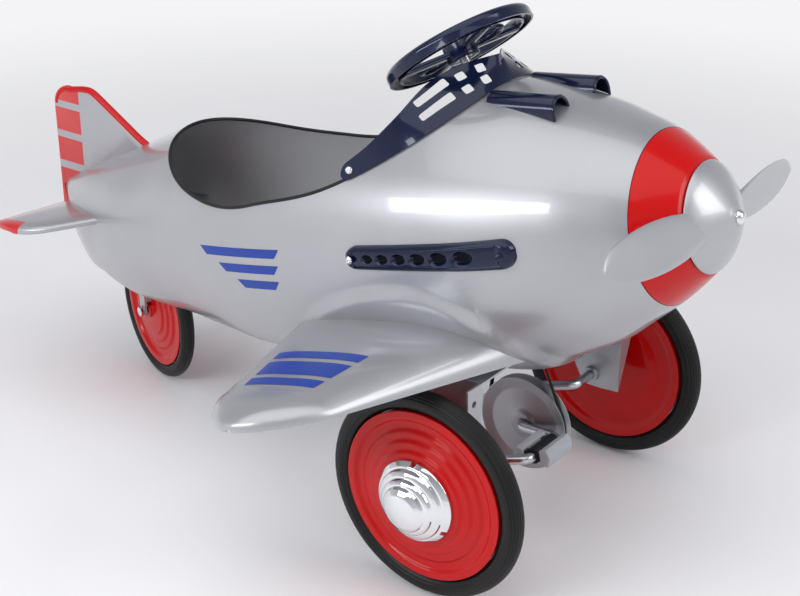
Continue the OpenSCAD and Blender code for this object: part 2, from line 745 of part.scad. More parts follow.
// Bore of the wheel's hub: the right wheel is keyed to the crank, the left one runs on it
module wheel_hub(gap) {
    on_wheel() translate([0, 0, face_out - hub_len]) ring(hub_r, axle_r + gap, hub_len);
}
cap_r = 50;
module hubcap() {
    rise = [
        [cap_r, 0], [cap_r, 4], [44, 9], [42, 9], [41, 13], [36, 16], [34, 16], [33, 20], [29, 22.5], [27.5, 22.5],
        [26, 26], [20, 30], [10, 32.5], [0, 33]
    ];
    on_wheel() translate([0, 0, face_out + seat_gap]) rotate_extrude() polygon(concat(
        rise,
        [for (k = [len(rise) - 1:-1:0]) [max(0, rise[k][0] - 1.4), max(0, rise[k][1] - 1.4)]]
    ));
}
module front_tyre_right() {
    color(black) tyre();
}
module front_tyre_left() {
    color(black) left_of() tyre();
}
module front_wheel_right() {
    color(red) union() {
        wheel_disc();
        wheel_hub(0);
    }
}
module front_wheel_left() {
    color(red) left_of() union() {
        wheel_disc();
        wheel_hub(run_gap);
    }
}
module hubcap_right() {
    color(chrome) hubcap();
}
module hubcap_left() {
    color(chrome) left_of() hubcap();
}

// Pedals: a cast core on each crank pin with two ribbed blocks

pedal_w = 44;
pedal_tilt = 13;
block_high = 22;
block_in = 9.5;
block_out = 21;
block_ridge = 25;
block_len = pedal_w + 6;
pedal_y = (pin_in + pin_out) / 2;
module on_pedal(way) {
    translate([axle_x + way * crank_throw * cos(crank_turn), -way * pedal_y, wheel_r + way * crank_throw * sin(crank_turn)])
        rotate([0, -pedal_tilt, 0]) children();
}
module pedal_core(way) {
    core_r = axle_r + 3.5;
    on_pedal(way) difference() {
        union() {
            rotate([90, 0, 0]) cylinder(h = pedal_w, r = core_r, center = true);
            for (y = [-1, 1]) translate([0, y * (pedal_w / 2 - 4), 0])
                cube([2 * (block_in + 2), 8, 12], center = true);
        }
        rotate([90, 0, 0]) cylinder(h = pedal_w + 2, r = axle_r + run_gap, center = true);
    }
}
// Cross section of a block: flat behind, with a ridge along its outer face
module block_section() {
    half = block_high / 2;
    polygon([
        [block_in + 2 + seat_gap, -half + 2], [block_out, -half], [block_ridge, 0], [block_out, half],
        [block_in + 2 + seat_gap, half - 2]
    ]);
}
module pedal_blocks(way) {
    on_pedal(way) for (turn = [0, 180]) rotate([0, turn, 0])
        translate([0, block_len / 2, 0]) rotate([90, 0, 0]) linear_extrude(height = block_len) block_section();
}
module pedal_core_right() {
    color("#3a3c40") pedal_core(1);
}
module pedal_core_left() {
    color("#3a3c40") pedal_core(-1);
}
module pedal_blocks_right() {
    color("#b9bcc2") pedal_blocks(1);
}
module pedal_blocks_left() {
    color("#b9bcc2") pedal_blocks(-1);
}

// Propeller: a domed spinner with two broad blades, on a shaft along the fuselage axis

blade_root = 30;
blade_front = 30;
blade_back = 46;
blade_wide = 26;
nut_len = 12;
prop_turn = 2.5;
// How far the spinner stands between a cone, at 1, and a dome, at 2
spinner_swell = 1.35;
function blade_half(t) =
    blade_wide * (1 - ((t - 0.5) / 0.72)^2) * (1 - max(0, (t - 0.8) / 0.2)^2.4)^0.5;
blade_steps = 12;
function blade_point(i, c, side) =
    let (t = i / blade_steps, q = mix(blade_root, prop_r - 0.5, 1 - (1 - t)^1.4))
    let (s = (q - blade_root) / (prop_r - blade_root), half = max(1.5, blade_half(s)), turn = mix(18, 15, s))
    let (x = c * half, z = side * (0.8 + (mix(3.4, 0.8, s) + 3 * exp(-s / 0.08)) * (1 - c^2)))
    [x * cos(turn) - z * sin(turn), -q, x * sin(turn) + z * cos(turn) + mix(blade_front, blade_back, s^1.2)];
function blade_grid(side) = [for (i = [0:blade_steps]) [for (j = [0:6]) blade_point(i, -cos(30 * j), side)]];
module blade() {
    between(blade_grid(-1), blade_grid(1));
}
module propeller() {
    base = nut_len / 2 + spinner_len;
    thick = 3;
    hub = 12;
    function swell(r, h, a) = [r * cos(a)^(2 / spinner_swell), base - h * sin(a)^(2 / spinner_swell)];
    color(silver) on_axis() rotate([0, 0, prop_turn]) difference() {
        union() {
            rotate_extrude() polygon(concat(
                [[0, nut_len / 2], [8, nut_len / 2]],
                [for (a = [68:-8.5:0]) swell(spinner_r, spinner_len, a)],
                [for (a = [0:10:50]) swell(spinner_r - thick, spinner_len - thick - 1, a)],
                [[hub, nut_len / 2 + thick + 5], [hub, base - 2], [0, base - 2]]
            ));
            blade();
            rotate([0, 0, 180]) blade();
        }
        cylinder(h = 120, r = shaft_r);
    }
}
module spinner_nut() {
    color(chrome) on_axis() rotate_extrude() polygon([
        [0, 0], [4, 0.8], [7, 3], [8, 6 - 0.2], [shaft_r + 0.05, 6 - 0.2], [shaft_r + 0.05, 4], [0, 4]
    ]);
}
module propeller_shaft() {
    color(steel) on_axis() translate([0, 0, 4.2]) cylinder(h = shaft_pulley_d + 6, r = shaft_r);
}
module shaft_pulley() {
    color(steel) on_axis() translate([0, 0, shaft_pulley_d]) rotate_extrude() polygon([
        [shaft_r, -small_half - 1.5], [small_r, -small_half - 1.5], [small_r, -small_half], [small_groove, 0],
        [small_r, small_half], [small_r, small_half + 1.5], [shaft_r, small_half + 1.5]
    ]);
}

// Cross straps inside the fuselage: each is cut to lie against the inner side of the skin

strap = 3;
module inside(d0, d1, ease = 0.35) {
    intersection() {
        children();
        in_body() hull_block(d0, d1, -wall - trim_gap - ease, 12);
    }
}
bearer_d = shaft_pulley_d - 19;
bearer_bush_r = 9;
module shaft_bearer() {
    color(steel) difference() {
        inside(bearer_d - 30, bearer_d + 30) on_axis() translate([-13, -200, bearer_d - strap / 2])
            cube([26, 400, strap]);
        on_axis() translate([0, 0, bearer_d - 10]) cylinder(h = 20, r = bearer_bush_r);
    }
}
module shaft_bush() {
    color("#b08d4a") on_axis() translate([0, 0, bearer_d - 7]) ring(bearer_bush_r, shaft_r + run_gap, 14);
}
dash_s = 105;
foot_s = 309;
// Distance from the nose tip, along the fuselage, to the place on the column s below the hub
function column_d(s) =
    (hub_back - s * sin(col_tilt)) * cos(tilt) + (nose_h - hub_h + s * cos(col_tilt)) * sin(tilt);
module column_strap(s, ease) {
    difference() {
        inside(column_d(s) - 34, column_d(s) + 34, ease) on_column() translate([-14, -200, -s - strap / 2]) cube([28, 400, strap]);
        on_column() translate([0, 0, -s - 10]) cylinder(h = 20, r = col_r + run_gap);
    }
}
module dash_bar() {
    color(steel) column_strap(dash_s, 1.4);
}
module column_foot() {
    color(steel) column_strap(foot_s, 0.5);
}

// Steering wheel, nut and bent column

rim_w = 15;
rim_deep = 16;
hub_top = 10;
module steering_wheel() {
    channel = 5;
    color(blue) on_column() rotate([0, 0, -steer_now]) difference() {
        union() {
            rotate_extrude() translate([rim_mid, 0]) difference() {
                union() {
                    circle(r = rim_w / 2);
                    translate([-rim_w / 2, -rim_deep / 2]) square([rim_w, rim_deep / 2]);
                }
                translate([-channel / 2 - 2, -rim_deep / 2 - 1]) square([channel + 4, 6]);
            }
            for (a = [45:90:315]) rotate([0, 0, a]) translate([14, -7, -9]) cube([rim_mid - rim_w / 2 - 12, 14, 7]);
            translate([0, 0, -16]) cylinder(h = 16 + hub_top, r = 19);
        }
        translate([0, 0, -20]) cylinder(h = 60, r = col_r);
    }
}
module steering_nut() {
    color(chrome) on_column() translate([0, 0, hub_top + seat_gap]) difference() {
        union() {
            cylinder(h = 8, r = 9, $fn = 6);
            translate([0, 0, 7]) rotate_extrude() polygon([[0, 0], [7.5, 0], [6, 3.5], [3, 5], [0, 5.5]]);
        }
        translate([0, 0, -1]) cylinder(h = 7, r = col_r);
    }
}
col_end = foot_s + 12;
jog_from = 166;
jog_to = 286;
module steering_column() {
    path = [
        [0, 0, -col_end], [0, 0, -jog_to - 14], [0, joggle, -jog_to], [0, joggle, -jog_from],
        [0, 0, -jog_from + 16], [0, 0, hub_top + 4]
    ];
    color(steel) on_column() rotate([0, 0, -steer_now]) bent_rod(path, col_r, 10);
}

// Tie rod from the column's joggle to the tail fork's tall pin

eye_s = 270;
crown_h = tail_r * 2 + 8;
stem_top = crown_h + 50;
eye_r = col_r + 4.5;
eye_w = 11;
arm_len = joggle * cos(col_tilt);
pin_r = 3;
slot_len = 16;
slot_side = pin_r + 0.5;
eye_h = stem_top + 15;
eye_thick = 10;
slot_bias = -1.5;
// Sideways bend that takes the rod past the belt
belt_pass = 24;
module tie_rod() {
    col_x = [cos(col_tilt), 0, sin(col_tilt)];
    col_y = [sin(col_lean) * sin(col_tilt), cos(col_lean), -sin(col_lean) * cos(col_tilt)];
    eye = [hub_x, 0, hub_h] - eye_s * cross(col_x, col_y) + joggle * (sin(steer_now) * col_x + cos(steer_now) * col_y);
    drop = -col_x;
    low = eye + drop * 250 + [0, belt_pass, 0];
    pin = [tail_x + arm_len * sin(steer_now), -arm_len * cos(steer_now), eye_h];
    rise = pin + [90, 10, -72];
    color(steel) union() {
        on_column() rotate([0, 0, -steer_now]) translate([0, joggle, -eye_s - eye_w / 2])
            ring(eye_r, col_r + run_gap, eye_w);
        bent_rod([eye + drop * (eye_r - 1.5), low, rise, pin + [slot_side + 3, slot_bias, 0]], tie_r, 16);
        translate(pin + [0, slot_bias, -eye_thick / 2]) difference() {
            translate([-slot_side - 5, -slot_len / 2 - 5, 0]) cube([2 * slot_side + 10, slot_len + 10, eye_thick]);
            translate([-slot_side, -slot_len / 2, -1]) cube([2 * slot_side, slot_len, eye_thick + 2]);
        }
    }
}

// Tail wheel, fork and head

fork_y = 21;
fork_sheet = 3;
fork_w = 16;
tail_rim = tail_r - 2 * tail_sec;
tail_axle_r = 4;
module tail_fork() {
    color(silver) translate([tail_x, 0, 0]) rotate([0, 0, steer_now]) difference() {
        union() {
            for (y = [-1, 1]) {
                translate([-fork_w / 2, y * (fork_y + fork_sheet / 2) - fork_sheet / 2, tail_r])
                    cube([fork_w, fork_sheet, crown_h - tail_r]);
                translate([0, y * (fork_y + fork_sheet / 2) + fork_sheet / 2, tail_r]) rotate([90, 0, 0])
                    cylinder(h = fork_sheet, r = fork_w / 2);
            }
            translate([-fork_w / 2, -fork_y - fork_sheet, crown_h - fork_sheet])
                cube([fork_w, 2 * (fork_y + fork_sheet), fork_sheet]);
            translate([0, 0, crown_h - 1]) cylinder(h = stem_top - crown_h + 1, r = stem_r);
            translate([0, 0, crown_h - 1]) cylinder(h = 5, r = stem_r + 4);
        }
        translate([0, 40, tail_r]) rotate([90, 0, 0]) cylinder(h = 80, r = tail_axle_r);
    }
}
module fork_arm() {
    pin_top = eye_h + 26;
    color(steel) translate([tail_x, 0, 0]) rotate([0, 0, steer_now]) difference() {
        union() {
            translate([-8, -arm_len - 7, stem_top - 8]) cube([16, arm_len + 7 + stem_r + 4, 6]);
            translate([0, -arm_len, stem_top - 3]) cylinder(h = pin_top - stem_top + 3, r = pin_r);
        }
        translate([0, 0, stem_top - 10]) cylinder(h = 20, r = stem_r);
    }
}
head_low = crown_h + 5;
head_top = stem_top - 9;
module head_tube() {
    color(steel) translate([tail_x, 0, head_low]) ring(stem_r + 4, stem_r + run_gap, head_top - head_low);
}
module tail_bearers() {
    color(steel) for (z = [head_low + 4, head_top - 8]) difference() {
        inside(well_mid - 98, well_mid + 62) translate([tail_x - 20, -120, z]) cube([40, 240, strap]);
        translate([tail_x, 0, z - 1]) cylinder(h = strap + 2, r = stem_r + 4);
    }
}
module on_tail() {
    translate([tail_x, 0, tail_r]) rotate([0, 0, steer_now]) rotate([90, 0, 0]) children();
}
module tail_tyre() {
    color(black) on_tail() rotate_extrude() translate([tail_r - tail_sec, 0]) circle(r = tail_sec);
}
tail_hub_half = 17;
module tail_wheel() {
    face = [
        [10, 13], [36, 13], [39, 10], [47, 10], [50, 7], [58, 7], [61, 4], [70, 4], [74, 8], [tail_rim + 1, 8]
    ];
    color(red) on_tail() union() {
        pressed(face, disc_sheet);
        mirror([0, 0, 1]) pressed(face, disc_sheet);
        translate([0, 0, -8]) ring(tail_rim - seat_gap, tail_rim - seat_gap - disc_sheet, 16);
        translate([0, 0, -tail_hub_half]) ring(11, tail_axle_r + run_gap, 2 * tail_hub_half);
    }
}
module tail_axle() {
    color(chrome) on_tail() union() {
        cylinder(h = 2 * (fork_y + fork_sheet) + 4, r = tail_axle_r, center = true);
        for (s = [-1, 1]) translate([0, 0, s * (fork_y + fork_sheet + seat_gap + 2.5)])
            cylinder(h = 5, r = 7.5, center = true, $fn = 6);
    }
}

// Seat pan on two cross bars

seat_h = 236;
seat_len = 170;
seat_half = 100;
seat_back = 745;
module seat_pan() {
    x0 = nose_x - seat_back;
    color(steel) translate([x0, -seat_half, seat_h]) difference() {
        cube([seat_len, 2 * seat_half, 12]);
        translate([wall, wall, wall]) cube([seat_len - 2 * wall, 2 * (seat_half - wall), 12]);
    }
}
module seat_bars() {
    x0 = nose_x - seat_back;
    color(steel) for (x = [x0 + 24, x0 + seat_len - 44])
        inside(540, 800) translate([x, -200, seat_h - strap - seat_gap]) cube([20, 400, strap]);
}

fuselage_right();
fuselage_left();
nose_cowl();
nose_bush();
wing_right();
wing_left();
stabilizer_right();
stabilizer_left();
tail_fin();
windshield();
windshield_screws();
gun_trough_right();
gun_trough_left();
exhaust_right();
exhaust_left();
exhaust_screws();
axle_hanger_right();
axle_hanger_left();
axle_bushes();
crank_axle();
drive_pulley();
drive_belt();
front_tyre_right();
front_tyre_left();
front_wheel_right();
front_wheel_left();
hubcap_right();
hubcap_left();
pedal_core_right();
pedal_core_left();
pedal_blocks_right();
pedal_blocks_left();
propeller();
spinner_nut();
propeller_shaft();
shaft_pulley();
shaft_bearer();
shaft_bush();
dash_bar();
column_foot();
steering_wheel();
steering_nut();
steering_column();
tie_rod();
tail_fork();
fork_arm();
head_tube();
tail_bearers();
tail_tyre();
tail_wheel();
tail_axle();
seat_pan();
seat_bars();
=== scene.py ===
# %% [markdown]
# # A pressed-steel pedal plane
# The real toy is a child's ride-on plane: two stamped fuselage halves, hollow wings,
# wheels with rubber tyres, a crank under the nose and a belt that turns the propeller.
# The engineering solids give every size. This lesson dresses them: smooth sheet metal,
# sprayed enamel, chrome and rubber. All pieces are in metres, in the frame of the solids.

# %% Load the frame
from math import acos, atan2, cos, degrees, radians, sin, tan
import bpy
import bmesh
import numpy as np
from mathutils import Matrix, Vector


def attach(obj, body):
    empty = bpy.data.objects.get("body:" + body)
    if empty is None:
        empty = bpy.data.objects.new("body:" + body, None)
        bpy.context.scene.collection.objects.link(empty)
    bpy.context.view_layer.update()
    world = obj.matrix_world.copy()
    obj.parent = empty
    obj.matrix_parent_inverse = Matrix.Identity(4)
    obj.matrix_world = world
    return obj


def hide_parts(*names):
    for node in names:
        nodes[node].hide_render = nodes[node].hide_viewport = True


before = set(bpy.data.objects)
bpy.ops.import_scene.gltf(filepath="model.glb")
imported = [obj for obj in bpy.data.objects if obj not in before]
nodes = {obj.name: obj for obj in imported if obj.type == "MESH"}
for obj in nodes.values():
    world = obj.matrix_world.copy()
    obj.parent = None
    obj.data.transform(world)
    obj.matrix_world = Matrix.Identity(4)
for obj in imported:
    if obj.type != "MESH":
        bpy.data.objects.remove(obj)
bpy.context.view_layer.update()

# %% [markdown]
# ## Camera
# The camera comes first, because everything is judged through it. Its place was solved from
# the two front wheels, whose circles give the viewing direction and the distance.

# %% Camera
CAMERA_AT = (1.166372, -1.443048, 1.086051)
YAW, PITCH = 2.21620526, 0.439644606
LENS_MM = 72.74
scene = bpy.context.scene
camera = bpy.data.objects.new("camera", bpy.data.cameras.new("camera"))
camera.data.sensor_width = 36.0
camera.data.lens = LENS_MM
look = Vector((cos(PITCH) * cos(YAW), cos(PITCH) * sin(YAW), -sin(PITCH)))
side = Vector((sin(YAW), -cos(YAW), 0.0))
up = side.cross(look)
camera.matrix_world = Matrix((side, up, -look)).transposed().to_4x4()
camera.location = CAMERA_AT
scene.collection.objects.link(camera)
scene.camera = camera
scene.view_settings.view_transform = "Standard"
print("camera lens", LENS_MM, "mm")

# %% [markdown]
# ## Helpers for materials
# Colours are written as sRGB hex, as on a paint card, and one function turns them into the
# linear values that the renderer works with. One small function adds a node with its
# settings and links, so each material reads as a short list of nodes. A link from a node
# takes its first output.

# %% Material helpers
def srgb(code):
    """Linear RGBA of an sRGB hex colour."""
    parts = [int(code[i:i + 2], 16) / 255 for i in (1, 3, 5)]
    return tuple(c / 12.92 if c <= 0.04045 else ((c + 0.055) / 1.055) ** 2.4 for c in parts) + (1.0,)


def add(tree, kind, inputs=None, links=None, stops=(), **settings):
    """Adds one node: fixed inputs, links from earlier nodes or sockets, colour stops of a ramp."""
    new = tree.nodes.new("ShaderNode" + kind)
    for key, value in settings.items():
        setattr(new, key, value)
    for key, value in (inputs or {}).items():
        new.inputs[key].default_value = value
    for key, source in (links or {}).items():
        tree.links.new(getattr(source, "outputs", [source])[0], new.inputs[key])
    for k, (position, code) in enumerate(stops):
        ramp = new.color_ramp.elements
        stop = ramp[k] if k < 2 else ramp.new(position)
        stop.position, stop.color = position, srgb(code)
    return new


def start(name):
    """A new material with only its output, and the object's own coordinates in metres."""
    made = bpy.data.materials.new(name)
    made.use_nodes = True
    tree = made.node_tree
    tree.nodes.clear()
    out = add(tree, "OutputMaterial")
    place = add(tree, "TexCoord").outputs["Object"]
    return made, tree, out, place


def per_metre(size_mm):
    """Noise scale whose features are about size_mm across."""
    return 1000.0 / size_mm


# %% [markdown]
# ## Sprayed enamels
# The sheet metal carries stoved enamel. The silver and the dark blue hold aluminium flake:
# the flake gives a metallic base whose tone changes a little from spot to spot, and a clear
# coat lies over it. The red is a plain gloss enamel. Red, blue and stencil paint reflect less
# than a usual gloss paint, which keeps their colours deep. Sprayed paint is never flat: a
# faint orange peel, waves about 3 mm across, breaks up the reflections. Real flake is near
# 0.05 mm, too fine to show here, so it is drawn at 1.2 mm and very faint.

# %% Enamels
CLOUD_MM, FLAKE_MM, PEEL_MM = 90, 1.2, 3
SILVER_FLAKE = 0.65
RED_TONE = "#c60808"


def enamel(name, light, dark, metallic, rough, coat, peel=0.03, level=0.5):
    """Sprayed enamel; level is how strongly the paint under the clear coat reflects."""
    made, tree, out, place = start(name)
    cloud = add(tree, "TexNoise", {"Scale": per_metre(CLOUD_MM), "Detail": 2.0}, {"Vector": place})
    flake = add(tree, "TexNoise", {"Scale": per_metre(FLAKE_MM), "Detail": 1.0}, {"Vector": place})
    both = add(tree, "Mix", {"Factor": 0.35}, {"A": cloud, "B": flake})
    tone = add(tree, "ValToRGB", None, {"Fac": both}, ((0.15, dark), (0.85, light)))
    sheen = add(tree, "MapRange", {"To Min": rough - 0.03, "To Max": rough + 0.04}, {"Value": cloud})
    waves = add(tree, "TexNoise", {"Scale": per_metre(PEEL_MM), "Detail": 1.0}, {"Vector": place})
    bump = add(tree, "Bump", {"Strength": peel, "Distance": 0.0004}, {"Height": waves})
    shade = add(tree, "BsdfPrincipled",
                {"Metallic": metallic, "Coat Weight": coat, "Coat Roughness": 0.06,
                 "Specular IOR Level": level},
                {"Base Color": tone, "Roughness": sheen, "Normal": bump})
    tree.links.new(shade.outputs["BSDF"], out.inputs["Surface"])
    return made


SILVER = enamel("silver_flake_enamel_sprayed", "#b6b7bb", "#a8a9ae", SILVER_FLAKE, 0.36, 0.8)
INSIDE = enamel("grey_enamel_inside_thin_coat", "#bdbec1", "#aeafb2", 0.2, 0.42, 0.2, peel=0.08)
RED = enamel("red_gloss_enamel_sprayed", RED_TONE, "#ba0606", 0.0, 0.2, 0.2, level=0.2)
BLUE = enamel("dark_blue_flake_enamel_sprayed", "#0e1b42", "#081129", 0.3, 0.22, 0.6, level=0.2)
MARK = enamel("blue_enamel_stencilled", "#2444a0", "#1e3c95", 0.0, 0.30, 0.1, level=0.25)
print("enamels:", SILVER.name, RED.name, BLUE.name)

# %% [markdown]
# ## Plating, bare metal and rubber
# Hubcaps, nuts and screws are chrome plated: fully metallic and almost mirror smooth.
# Axles and brackets are zinc plated or bare steel, rougher, with fine drawn streaks.
# Tyres are moulded rubber, dark and dull, with a fine grain from the mould.

# %% Metals and rubbers
DUST_MM = 45


def metal(name, light, dark, low, high, grain_mm, stretch=(1, 1, 1), bumps=0.05):
    """Bare or plated metal whose roughness runs from low to high with its grain."""
    made, tree, out, place = start(name)
    drawn = add(tree, "Mapping", {"Scale": stretch}, {"Vector": place})
    grain = add(tree, "TexNoise", {"Scale": per_metre(grain_mm), "Detail": 3.0}, {"Vector": drawn})
    tone = add(tree, "ValToRGB", None, {"Fac": grain}, ((0.3, dark), (0.7, light)))
    rough = add(tree, "MapRange", {"To Min": low, "To Max": high}, {"Value": grain})
    bump = add(tree, "Bump", {"Strength": bumps, "Distance": 0.0002}, {"Height": grain})
    shade = add(tree, "BsdfPrincipled", {"Metallic": 1.0},
                {"Base Color": tone, "Roughness": rough, "Normal": bump})
    tree.links.new(shade.outputs["BSDF"], out.inputs["Surface"])
    return made


def rubber(name, light, dark, rough, grain_mm):
    """Moulded rubber, and dull black painted shade, with a fine grain and a little dust."""
    made, tree, out, place = start(name)
    grain = add(tree, "TexNoise", {"Scale": per_metre(grain_mm), "Detail": 4.0}, {"Vector": place})
    dust = add(tree, "TexNoise", {"Scale": per_metre(DUST_MM), "Detail": 3.0}, {"Vector": place})
    tone = add(tree, "ValToRGB", None, {"Fac": dust}, ((0.35, dark), (0.75, light)))
    matt = add(tree, "MapRange", {"To Min": rough - 0.06, "To Max": rough + 0.06}, {"Value": dust})
    bump = add(tree, "Bump", {"Strength": 0.15, "Distance": 0.0003}, {"Height": grain})
    shade = add(tree, "BsdfPrincipled", {"IOR": 1.52, "Specular IOR Level": 0.3},
                {"Base Color": tone, "Roughness": matt, "Normal": bump})
    tree.links.new(shade.outputs["BSDF"], out.inputs["Surface"])
    return made


CHROME = metal("bright_chrome_plate", "#eceef0", "#e4e6e8", 0.03, 0.07, 30, bumps=0.01)
ZINC = metal("zinc_plated_steel_satin", "#b4b7bc", "#9fa2a7", 0.26, 0.40, 2.0)
DRAWN = metal("drawn_steel_rod", "#c9cbcf", "#b6b8bd", 0.18, 0.30, 1.5, (1, 0.08, 1))
PULLEY = metal("spun_steel_pulley", "#a6a6aa", "#9a9a9e", 0.34, 0.42, 0.8)
BRONZE = metal("sintered_bronze_oiled", "#b08d4a", "#94763c", 0.35, 0.5, 1.0)
CAST = metal("dark_cast_iron_core", "#46484c", "#36383c", 0.45, 0.6, 1.5, bumps=0.2)
TYRE = rubber("black_tyre_rubber_moulded", "#0e0e0f", "#080809", 0.42, 0.8)
BELT = rubber("black_belt_rubber_extruded", "#191919", "#121212", 0.5, 0.6)
# dull black for the bead on the cockpit rim: painted shade of the rolled hem
RIM_SHADE_BEAD = rubber("black_rim_bead_painted_shade", "#1a1a1b", "#121213", 0.35, 0.6)
GREY = rubber("light_grey_pedal_rubber_moulded", "#c2c5cb", "#b2b5bb", 0.5, 0.8)
print("metals and rubbers:", CHROME.name, ZINC.name, TYRE.name)

# %% [markdown]
# ## Helpers for meshes
# Most pieces are either a sheet lofted through rows of points, a profile spun round an
# axis, or a round bar bent along a path. Short functions make these from arrays, and one
# function turns the result into a piece that rides on its body. Another makes a right-hand
# piece and its mirror image.

# %% Mesh helpers
MM = 0.001


def xyz(x, y, z):
    """Points from three arrays of coordinates."""
    return np.stack(np.broadcast_arrays(x, y, z), -1)


def sheet(rows, wrap_u=False, wrap_v=False):
    """Faces over a grid of points; wrap joins the last row or column to the first."""
    n, m = rows.shape[:2]
    iu = range(n if wrap_u else n - 1)
    iv = range(m if wrap_v else m - 1)
    faces = [(i * m + j, ((i + 1) % n) * m + j, ((i + 1) % n) * m + (j + 1) % m, i * m + (j + 1) % m)
             for i in iu for j in iv]
    return rows.reshape(-1, 3), faces


def spun(profile, steps=96):
    """A profile of (radius, height) spun round Z; the profile is a closed loop."""
    ring = np.array(profile, float)
    turn = np.arange(steps) * 2 * np.pi / steps
    rows = xyz(np.outer(np.cos(turn), ring[:, 0]), np.outer(np.sin(turn), ring[:, 0]), ring[:, 1])
    return sheet(rows, True, True)


def capped(rows):
    """A loft through closed sections, with both ends filled."""
    n, m = rows.shape[:2]
    verts, faces = sheet(rows, False, True)
    return verts, faces + [tuple(range(m)), tuple(range((n - 1) * m, n * m))[::-1]]


def rounded(points, r, steps=4, closed=True):
    """Corners of a polyline, in the plane or in space, turned into small arcs."""
    pts = [np.array(p, float) for p in points]
    out = []
    for k, p in enumerate(pts):
        if not closed and k in (0, len(pts) - 1):
            out.append(p)
            continue
        a, b = pts[k - 1] - p, pts[(k + 1) % len(pts)] - p
        la, lb = np.linalg.norm(a), np.linalg.norm(b)
        reach = min(r, 0.45 * la, 0.45 * lb)
        for t in np.linspace(0, 1, steps + 1):
            out.append(p + a / la * reach * (1 - t) ** 2 + b / lb * reach * t ** 2)
    return np.array(out)


def unit(v):
    """The same direction with length one."""
    return v / np.linalg.norm(v, axis=-1, keepdims=True)


def tube(path, r, sides=16, closed=False):
    """A round bar along a path of points, with flat ends."""
    path = np.array(path, float)
    n = len(path)
    if closed:
        way = np.roll(path, -1, 0) - np.roll(path, 1, 0)
    else:
        way = np.gradient(path, axis=0)
    way = unit(way)
    u = np.cross(way[0], [0.31, 0.17, 0.93])
    rows = []
    for k in range(n):
        u = unit(u - way[k] * np.dot(u, way[k]))
        v = np.cross(way[k], u)
        a = np.arange(sides) * 2 * np.pi / sides
        rows.append(path[k] + r * (np.outer(np.cos(a), u) + np.outer(np.sin(a), v)))
    verts, faces = sheet(np.array(rows), closed, True)
    if not closed:
        faces += [tuple(range(sides))[::-1], tuple(range((n - 1) * sides, n * sides))]
    return verts, faces


def join(*parts):
    """Several (points, faces) in one."""
    verts, faces, base = [], [], 0
    for v, f in parts:
        verts.append(np.asarray(v, float))
        faces += [tuple(i + base for i in face) for face in f]
        base += len(v)
    return np.concatenate(verts), faces


# %% From shape to piece
def piece(name, shape, paints, body, slot, stands_for=(), at=None, sharp=35.0, skin=None, flip=None,
          crisp=True):
    """Makes a piece from millimetre points; at maps local points to the frame of the solids."""
    verts, faces = shape
    verts = np.asarray(verts, float)
    if at is not None:
        verts = at(verts)
    mesh = bpy.data.meshes.new(name)
    mesh.from_pydata((verts * MM).tolist(), [], faces)
    work = bmesh.new()
    work.from_mesh(mesh)
    bmesh.ops.remove_doubles(work, verts=work.verts, dist=1e-6)
    bmesh.ops.dissolve_degenerate(work, edges=work.edges, dist=1e-7)
    if flip is None:
        bmesh.ops.recalc_face_normals(work, faces=work.faces)
    elif flip:
        bmesh.ops.reverse_faces(work, faces=work.faces)
    work.to_mesh(mesh)
    work.free()
    mesh.polygons.foreach_set("use_smooth", [True] * len(mesh.polygons))
    mesh.set_sharp_from_angle(angle=radians(sharp))
    made = bpy.data.objects.new(name, mesh)
    scene.collection.objects.link(made)
    for paint in paints:
        mesh.materials.append(paint)
    if skin:
        thick = made.modifiers.new("sheet", "SOLIDIFY")
        thick.thickness, thick.offset = skin * MM, -1.0
        thick.material_offset = 1 if len(paints) > 1 else 0
    if skin and crisp:
        made.modifiers.new("crisp_rim", "EDGE_SPLIT").split_angle = radians(sharp)
    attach(made, body)
    if stands_for:
        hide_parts(*stands_for)
    return made


def mirrored(verts):
    """The same points on the other side of the plane."""
    return verts * np.array([1, -1, 1])


def both_sides(name, shape, paints, slot, stands_for=None, flip=None, **more):
    """A piece on the right of the fuselage and, mirrored, on its left."""
    made = []
    for hand, points in (("right", shape[0]), ("left", mirrored(shape[0]))):
        turn_over = flip if flip is None or hand == "right" else not flip
        replaced = [stands_for + "_" + hand] if stands_for else ()
        made.append(piece(name + "_" + hand, (points, shape[1]), paints, "airframe", slot, replaced, in_body,
                          flip=turn_over, **more))
    return made


# %% [markdown]
# ## Frames of the object
# The fuselage lies nose up at 13.5 degrees. Points on it are given as the distance behind
# the nose tip, the distance to the side and the height over its axis.

# %% Frames
NOSE_X, NOSE_H, TILT = 524.0, 454.0, radians(13.5)
AXLE_X, WHEEL_R, WHEEL_Y = 269.0, 127.0, 202.0
TAIL_X, TAIL_R, STEER = -348.0, 101.6, radians(-20)
HUB_X, HUB_H, COL_TILT, COL_LEAN = 162.0, 571.0, radians(38), radians(4.5)


def turned(u, v, angle):
    """Two coordinates after a turn in their plane."""
    c, s = np.cos(angle), np.sin(angle)
    return u * c - v * s, u * s + v * c


def in_body(p):
    x, z = turned(p[..., 0], p[..., 2], TILT)
    return xyz(NOSE_X + x, p[..., 1], NOSE_H + z)


def on_axis(p):
    return in_body(xyz(-p[..., 2], p[..., 1], p[..., 0]))


def on_wheel(p):
    return xyz(AXLE_X + p[..., 0], -WHEEL_Y - p[..., 2], WHEEL_R + p[..., 1])


def on_column(p):
    x, y = turned(p[..., 0], p[..., 1], -STEER)
    z, y = turned(p[..., 2], y, COL_LEAN)
    x, z = turned(x, z, COL_TILT)
    return xyz(HUB_X + x, y, HUB_H + z)


def on_tail(p):
    x, y = turned(p[..., 0], -p[..., 2], STEER)
    return xyz(TAIL_X + x, y, TAIL_R + p[..., 1])


print("nose tip at", NOSE_X, NOSE_H, "mm, front axle at", AXLE_X, WHEEL_R, "mm")

